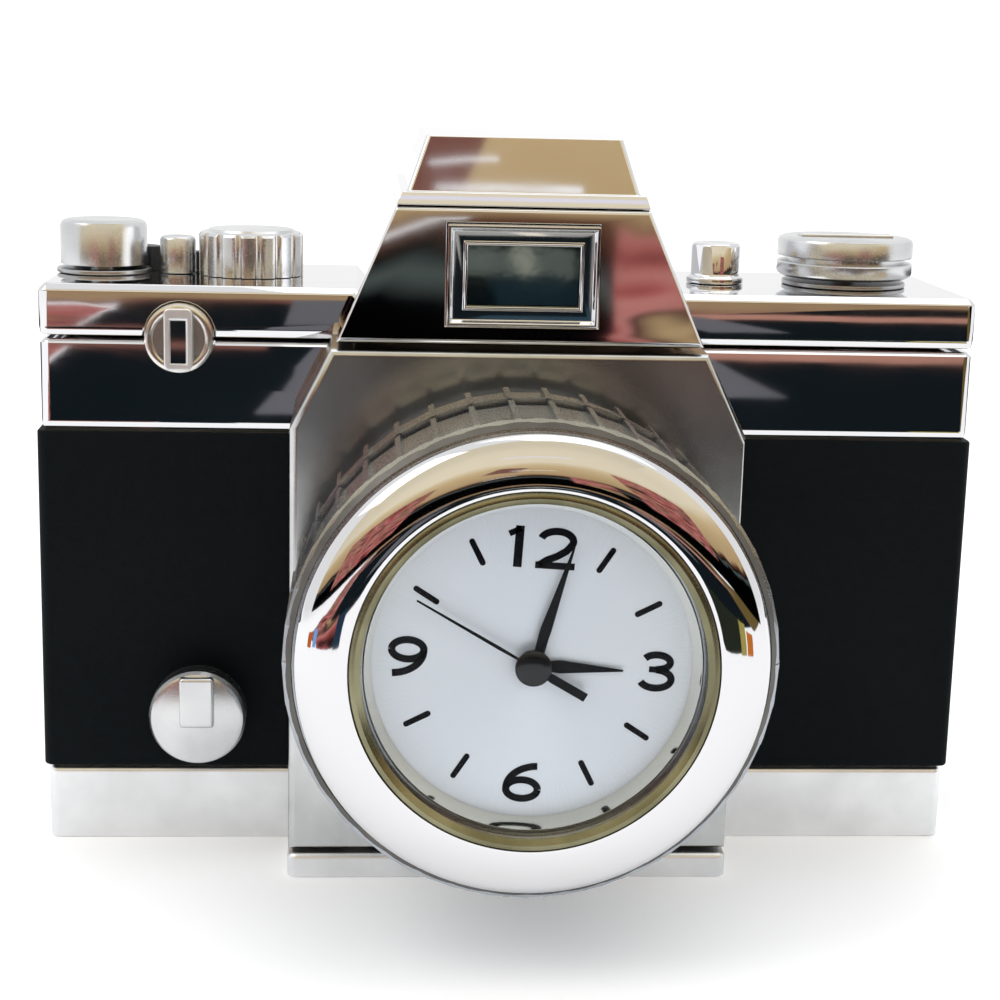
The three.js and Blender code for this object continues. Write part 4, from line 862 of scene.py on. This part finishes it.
# %% Front knob
def front_cap(radius):
    side = [(radius - 0.3, 0), (radius, 0.3), (radius, 2.1)]
    return side + [(radius - 0.2, 2.45), (radius - 0.55, 2.6), (0, 2.6)]


bar_proud = 0.5
turned_node("front_knob", knob_profile(front_cap, bar_proud), lens_forward, 0)
foot = node_measures("front_knob", lens_forward)[0]
low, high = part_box("front_knob")
bar_half, bar_length, bar_deep, bar_inset = 1.385, 4.2, 0.9, 0.35
bar_top = high.z / mm - bar_inset
bar = block_piece(
    "front_knob_thumb_bar",
    (foot.x / mm - bar_half, low.y / mm, bar_top - bar_length),
    (foot.x / mm + bar_half, low.y / mm + bar_deep, bar_top), 0.3,
)
dress(bar, "front_knob", knob_satin)

# %% [markdown]
# ## The clock insert
# The case is a plain steel cup. A rubber band with two soft ribs grips the bore, so that the
# insert can be pulled out to be set. Both are turned. The inner wall is a polished, nearly upright
# ring between crystal and dial that mirrors the figures.

# %% Case, grip band, inner wall, crystal and dial
turned_node("insert_case", lambda radius, length: [
    (radius - 0.5, 0), (radius, 0), (radius, length), (radius - 0.5, length),
], lens_forward)


def ribbed_band(radius, length):
    inner, valley, pitch = radius - 0.45, radius - 0.25, length / 4
    return [
        (inner, 0), (valley, 0), (radius, pitch * 0.7), (radius, pitch * 1.3), (valley, pitch * 2),
        (radius, pitch * 2.7), (radius, pitch * 3.3), (valley, length), (inner, length),
    ]


turned_node("grip_band", ribbed_band, lens_forward, 0.12)
turned_node("dial_wall", lambda radius, length: [
    (radius - 0.55, 0), (radius, 0), (radius, length), (radius - 0.05, length),
], lens_forward, 0.02)
turned_node("crystal", lambda radius, length: [
    (0, 0), (radius, 0), (radius, length), (0, length),
], lens_forward, 0.04)
turned_node("dial", washer(hands_hole), lens_forward, 0)
for node in ("insert_back_cover", "battery_hatch", "setting_knob"):
    rounded_copy(node, 0.1)

# %% [markdown]
# ## Figures and hour bars
# They are printed in black a few hundredths of a millimetre thick. The figures 12, 3, 6 and 9 are
# wide and bold, with strokes of one width and square-cut ends, and small bars mark the other
# hours. A bar is a round dot pulled apart at its middle. Each stroke is a strip, a long grid that
# is bent along the line of the figure, as a broad pen would draw it. The whole dial sits a few
# degrees clockwise in the lens.

# %% Printing the dial
dial_turn = math.radians(3.3)
ink_thickness = 0.02
dial_face_y = dial_low.y / mm


def on_dial(piece):
    """Turns a piece drawn flat at the origin to face forward on the dial, and applies its place."""
    piece.matrix_world = (
        Matrix.Translation((dial_centre.x, (dial_face_y - ink_thickness) * mm, dial_centre.z))
        @ Matrix.Rotation(dial_turn, 4, "Y")
        @ Matrix.Rotation(math.radians(90), 4, "X")
        @ piece.matrix_world
    )
    select_only(piece)
    bpy.ops.object.transform_apply(location=True, rotation=True, scale=True)
    dress(piece, "clock_insert", dial_ink)


def arc(centre_x, centre_y, half_width, half_height, start, end, steps=20):
    """Points along part of an ellipse, from one angle to another in degrees."""
    angles = [math.radians(start + (end - start) * i / steps) for i in range(steps + 1)]
    return [
        (centre_x + half_width * math.cos(a), centre_y + half_height * math.sin(a)) for a in angles
    ]


def thicken(piece):
    modify(piece, "ink", "SOLIDIFY", thickness=ink_thickness * mm, offset=0)


def pen_stroke(points, width):
    """A strip of one width along the points, with square-cut ends."""
    bpy.ops.mesh.primitive_grid_add(x_subdivisions=len(points) - 1, y_subdivisions=1, size=mm)
    strip = bpy.context.object
    for i, (x, y) in enumerate(points):
        before, after = points[max(i - 1, 0)], points[min(i + 1, len(points) - 1)]
        across = Vector((before[1] - after[1], after[0] - before[0])).normalized() * width / 2
        strip.data.vertices[i].co = (Vector((x, y, 0)) - across.to_3d()) * mm
        strip.data.vertices[i + len(points)].co = (Vector((x, y, 0)) + across.to_3d()) * mm
    thicken(strip)
    return strip


def figure(name, strokes, across, upward_place, half_turn=False):
    piece = joined([pen_stroke(points, width) for points, width in strokes])
    piece.name = "figure_" + name
    turn = Matrix.Rotation(math.pi if half_turn else 0, 4, "Z")
    piece.matrix_world = Matrix.Translation((across * mm, upward_place * mm, 0)) @ turn
    on_dial(piece)


pen = 0.52
one = [([(0.2, -1.475), (0.2, 1.475)], 0.6), ([(0.3, 1.3), (-0.52, 0.86)], 0.42)]
neck_of_two = [(0.72, -0.14), (0.1, -0.55), (-0.6, -0.86), (-1.12, -1.25)]
two = [
    (arc(0.02, 0.55, 1.13, 0.68, 168, -22) + neck_of_two, pen),
    ([(-1.38, -1.23), (1.38, -1.23)], 0.49),
]
three = [
    (arc(-0.03, 0.69, 0.95, 0.53, 155, -90), pen),
    (arc(-0.03, -0.55, 1.12, 0.67, 90, -158), pen),
    ([(-0.55, 0.14), (0.05, 0.14)], 0.44),
]
six = [
    (arc(0, -0.52, 1.13, 0.7, 0, 360, 36), pen),
    (arc(1.15, -0.42, 2.27, 1.66, 183, 94), pen),
]
figure("1", one, -1.87, 8.4)
figure("2", two, 0.95, 8.4)
figure("3", three, 8.8, 0)
figure("6", six, 0, -8.75)
figure("9", six, -8.8, 0, half_turn=True)

mark_length, mark_width, mark_radius = 2.1, 0.42, 9.0
pull = (mark_length - mark_width) / 2
for hour in (1, 2, 4, 5, 7, 8, 10, 11):
    angle = math.tau * hour / 12
    bpy.ops.mesh.primitive_circle_add(vertices=24, radius=mark_width / 2 * mm, fill_type="NGON")
    mark = bpy.context.object
    mark.name = "hour_bar_%d" % hour
    for vertex in mark.data.vertices:
        vertex.co.y += (mark_radius + (pull if vertex.co.y > 0 else -pull)) * mm
    thicken(mark)
    mark.matrix_world = Matrix.Rotation(-angle, 4, "Z")
    on_dial(mark)
print("figures and bars are printed")

# %% [markdown]
# ## The hands
# The hands are stamped from thin brass and enamelled black. Stamping leaves a small radius on
# their edges, so copies of the nodes get one. A small domed cap covers the hub.

# %% Hands
for node in ("hour_hand", "minute_hand", "second_hand"):
    rounded_copy(node, 0.03, 2)
hub_radius, hub_height, hub_edge, sunk = 1.3, 0.3, 0.08, 0.05
hub_foot = Vector((dial_centre.x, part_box("second_hand")[0].y + sunk * mm, dial_centre.z))
hub_dome = quarter_ellipse(hub_radius, 0, hub_edge, hub_height, 8)
hub_profile = [(0, 0), (hub_radius, 0), (hub_radius, hub_edge)] + hub_dome[1:]
hub = turned_piece("second_hand_cap", hub_profile, hub_foot, lens_forward, 0, 64)
dress(hub, "second_hand", hub_lacquer)

# %% [markdown]
# ## The floor and the light
# The picture was taken on white paper in soft light. Chrome shows only what is around it, so the
# room matters as much as the lamps: white paper below and just in front, then a dark table with a
# pink and tan edge, a wall behind it, and small things to the sides. Those cards are seen by
# mirrors alone, and cast no light. Where each one stands follows from the law of reflection: the
# chrome band mirrors the table 0.2 to 0.3 m in front, the prism mirrors the wall just above it,
# the window's pane mirrors the table near 0.24 m, and the sides of the bezel mirror low things
# that stand 0.1 m away.

# %% Paper and cards
def plain_card(name, tint):
    surface = {"Base Color": colour(tint), "Roughness": 1, "Specular IOR Level": 0}
    return new_material(name, surface)[0]


def blotchy_card(name, tones, blotch_mm, rise_mm=0, stretch=(1, 1, 1)):
    """Soft patches of several tones; with a rise, the tones follow the height above the floor."""
    material, shader, place = new_material(name, {"Roughness": 1, "Specular IOR Level": 0})
    stretched = add_node(material, "Mapping", [("Scale", stretch)], [("Vector", place, "Object")])
    settings = [("Scale", per_metre(blotch_mm)), ("Detail", 1)]
    blotches = add_node(material, "TexNoise", settings, [("Vector", stretched, "Vector")])
    value, output = blotches, "Fac"
    if rise_mm > 0:
        parts = add_node(material, "SeparateXYZ", links=[("Vector", place, "Object")])
        settings = [("operation", "MULTIPLY_ADD"), (1, per_metre(rise_mm))]
        value = add_node(material, "Math", settings, [(0, parts, "Z")])
        waver = 0.07
        settings = [("From Min", 0), ("From Max", 1), ("To Min", -waver), ("To Max", waver)]
        offset = add_node(material, "MapRange", settings, [("Value", blotches, "Fac")])
        join_nodes(material, offset, "Result", value, 2)
        output = "Value"
    tint_by(material, shader, value, tones, output)
    return material


def stage_plane(name, centre_mm, size_mm, turn_degrees, material, mirrors_only=True):
    """A flat thing of the room; a card for mirrors only is unseen, and casts no shadow."""
    bpy.ops.mesh.primitive_plane_add(size=1, location=[c * mm for c in centre_mm])
    card = bpy.context.object
    card.name = name
    card.scale = (size_mm[0] * mm, size_mm[1] * mm, 1)
    card.rotation_euler = [math.radians(a) for a in turn_degrees]
    bpy.ops.object.transform_apply(location=True, rotation=True, scale=True)
    wear(card, material)
    if mirrors_only:
        card.visible_camera = card.visible_diffuse = card.visible_shadow = False


paper = plain_card("white_paper", "#fcfcfc")
paper_inputs = paper.node_tree.nodes["Principled BSDF"].inputs
paper_inputs["Emission Color"].default_value = colour("#ffffff")
paper_inputs["Emission Strength"].default_value = 0.12
stage_plane("paper_floor", (0, 0, 0), (6000, 6000), (0, 0, 0), paper, mirrors_only=False)

dark_behind = blotchy_card("grey_cloth_behind", [(0.35, "#1b1d1f"), (0.65, "#4a4d50")], 60)
room_wall = blotchy_card("wall_behind", [
    (0.24, "#020203"), (0.28, "#4c5552"), (0.31, "#0a0b0b"), (0.35, "#5a3a2c"), (0.4, "#b59a72"),
    (0.62, "#c4aa80"), (0.8, "#d2bc92"), (1.0, "#e8dcc0"),
], 60, 200)
pink_blotches = blotchy_card("pink_things", [
    (0.32, "#2a1c1c"), (0.42, "#a5524f"), (0.52, "#c08078"), (0.6, "#3a2423"), (0.7, "#b59a72"),
], 16, stretch=(0.35, 1, 1.6))

flat, upright = (0, 0, 0), (90, 0, 0)
on_table, on_wall = 0.6, -454  # the height of a flat card, and the place of an upright one
pink_brown, rosy, lavender_grey = "#7c534a", "#b98877", "#68686d"
cards = [
    # name, centre in mm, size in mm, turn in degrees, and a material or a plain colour
    ("dark_table", (46, -267, 0.4), (250, 236), flat, "#131a1e"),
    ("pink_edge", (46, -391, 0.4), (320, 12), flat, pink_brown),
    ("tan_edge", (46, -428, 0.4), (320, 62), flat, "#a88c6a"),
    ("rosy_edge_right", (134, -297, on_table), (150, 36), (0, 0, 2), rosy),
    ("brown_edge_left", (-60, -297, on_table), (50, 14), (0, 0, -4), "#8a5f55"),
    ("grey_by_the_mount_left", (-19, -240, on_table), (18, 110), (0, 0, 4), lavender_grey),
    ("grey_by_the_mount_right", (60, -258, on_table), (16, 80), (0, 0, -4), lavender_grey),
    ("rosy_by_the_prism_right", (84, -362, on_table), (30, 40), flat, rosy),
    ("grey_by_the_prism_left", (-22, -365, on_table), (22, 60), flat, lavender_grey),
    ("pink_left", (-105, -290, 0.5), (50, 170), flat, pink_blotches),
    ("dark_table_behind", (0, 260, 0.4), (640, 300), flat, dark_behind),
    ("wall", (0, -460, 750), (1700, 1500), upright, room_wall),
    ("pink_right_of_prism", (84, -455, 50), (44, 38), upright, pink_blotches),
    ("brown_by_the_cap", (0, -455, 122), (40, 34), (90, 24, 0), pink_brown),
    ("pale_shelf", (30, on_wall, 109.6), (46, 2.2), upright, paper),
    ("pale_strip_left", (16, on_wall, 118), (22, 1.4), (90, -4, 0), paper),
    ("pale_strip_low", (2, on_wall, 71), (30, 2), (90, -5, 0), paper),
    ("grey_glare", (17, -240, on_table), (24, 30), (0, 0, 5), "#a6a5a0"),
    ("bright_glare", (18.4, -239, 0.8), (3.6, 26), flat, "#f6e9da"),
    ("teal_glare", (19, -209, on_table), (17, 28), flat, "#2f4450"),
    ("lavender_strip", (35, on_wall, 262), (120, 12), upright, "#e9e6f2"),
    ("pink_low_left", (-63, -116, 5), (42, 9), (90, 0, -6), pink_blotches),
    ("navy_low_left", (-36, -116, 5), (11, 9), upright, "#26384a"),
    ("pink_floor_left", (-112, -166, on_table), (70, 92), flat, pink_blotches),
    ("blue_low_left", (-93, -112, 5), (14, 9), (90, 0, -20), "#7ba6d8"),
    ("orange_low_left", (-112, -100, 5), (20, 9), (90, 0, -30), "#c0622c"),
    ("dark_low_right", (47, -110, 6), (38, 11), (90, 0, 6), "#262b22"),
    ("olive_low_right", (70, -104, 6), (12, 11), (90, 0, 20), "#a79a52"),
    ("orange_low_right", (84, -96, 5), (16, 9), (90, 0, 35), "#c8742e"),
    ("brown_floor_right", (228, -260, on_table), (145, 260), flat, "#6b5a35"),
    ("tan_side_wall", (300, -280, 200), (360, 400), (90, 0, 90), room_wall),
    ("pink_far_left", (-210, -450, 75), (240, 110), upright, pink_blotches),
    ("pink_far_right", (250, -450, 105), (230, 130), upright, pink_blotches),
]
for name, centre_mm, size_mm, turn_degrees, look in cards:
    if isinstance(look, str):
        look = plain_card(name + "_tone", look)
    stage_plane(name, centre_mm, size_mm, turn_degrees, look)
print(len(cards), "cards stand round the clock for the mirrors")

# %% Lamps
def soft_lamp(name, place_mm, target_mm, size_mm, watts):
    data = bpy.data.lights.new(name, "AREA")
    data.shape = "RECTANGLE"
    data.size = size_mm[0] * mm
    data.size_y = size_mm[1] * mm
    data.energy = watts
    lamp = new_object(name, data)
    lamp.location = [c * mm for c in place_mm]
    aim = (Vector(target_mm) - Vector(place_mm)).normalized()
    lamp.rotation_euler = aim.to_track_quat("-Z", "Y").to_euler()


soft_lamp("window_light", (-320, -120, 420), (0, 0, 20), (300, 300), 0.5)
soft_lamp("ceiling_light", (120, 60, 520), (0, 0, 20), (420, 420), 0.5)

world = bpy.data.worlds.new("pale_room")
bpy.context.scene.world = world
world.use_nodes = True
sky_inputs = world.node_tree.nodes["Background"].inputs
sky_inputs["Color"].default_value = colour("#ffffff")
sky_inputs["Strength"].default_value = 1.03
bpy.context.scene.view_settings.view_transform = "Standard"

# %% [markdown]
# ## The camera
# The picture was taken from a little above and to the left, with the camera nearly level. Its
# place was worked out from the straight edges and circles of the object.

# %% Camera
picture_size = 1000
focal_length_pixels = 2000
sensor_width_mm = 36
camera_place_mm = (-11.77, -156.625, 63.94)
pitch, yaw, roll = (math.radians(a) for a in (12.11, 3.92, 1.43))

camera_data = bpy.data.cameras.new("camera")
camera_data.sensor_width = sensor_width_mm
camera_data.lens = sensor_width_mm * focal_length_pixels / picture_size
camera_data.clip_start = 10 * mm
camera = new_object("camera", camera_data)
ahead = math.cos(pitch)
forward = Vector((math.sin(yaw) * ahead, math.cos(yaw) * ahead, -math.sin(pitch)))
level_right = Vector((math.cos(yaw), -math.sin(yaw), 0))
level_up = level_right.cross(forward)
right = level_right * math.cos(roll) + level_up * math.sin(roll)
up = level_up * math.cos(roll) - level_right * math.sin(roll)
camera.matrix_world = Matrix.Translation([c * mm for c in camera_place_mm]) @ Matrix(
    [right, up, -forward]
).transposed().to_4x4()
bpy.context.scene.camera = camera
print("camera lens", camera_data.lens, "mm")
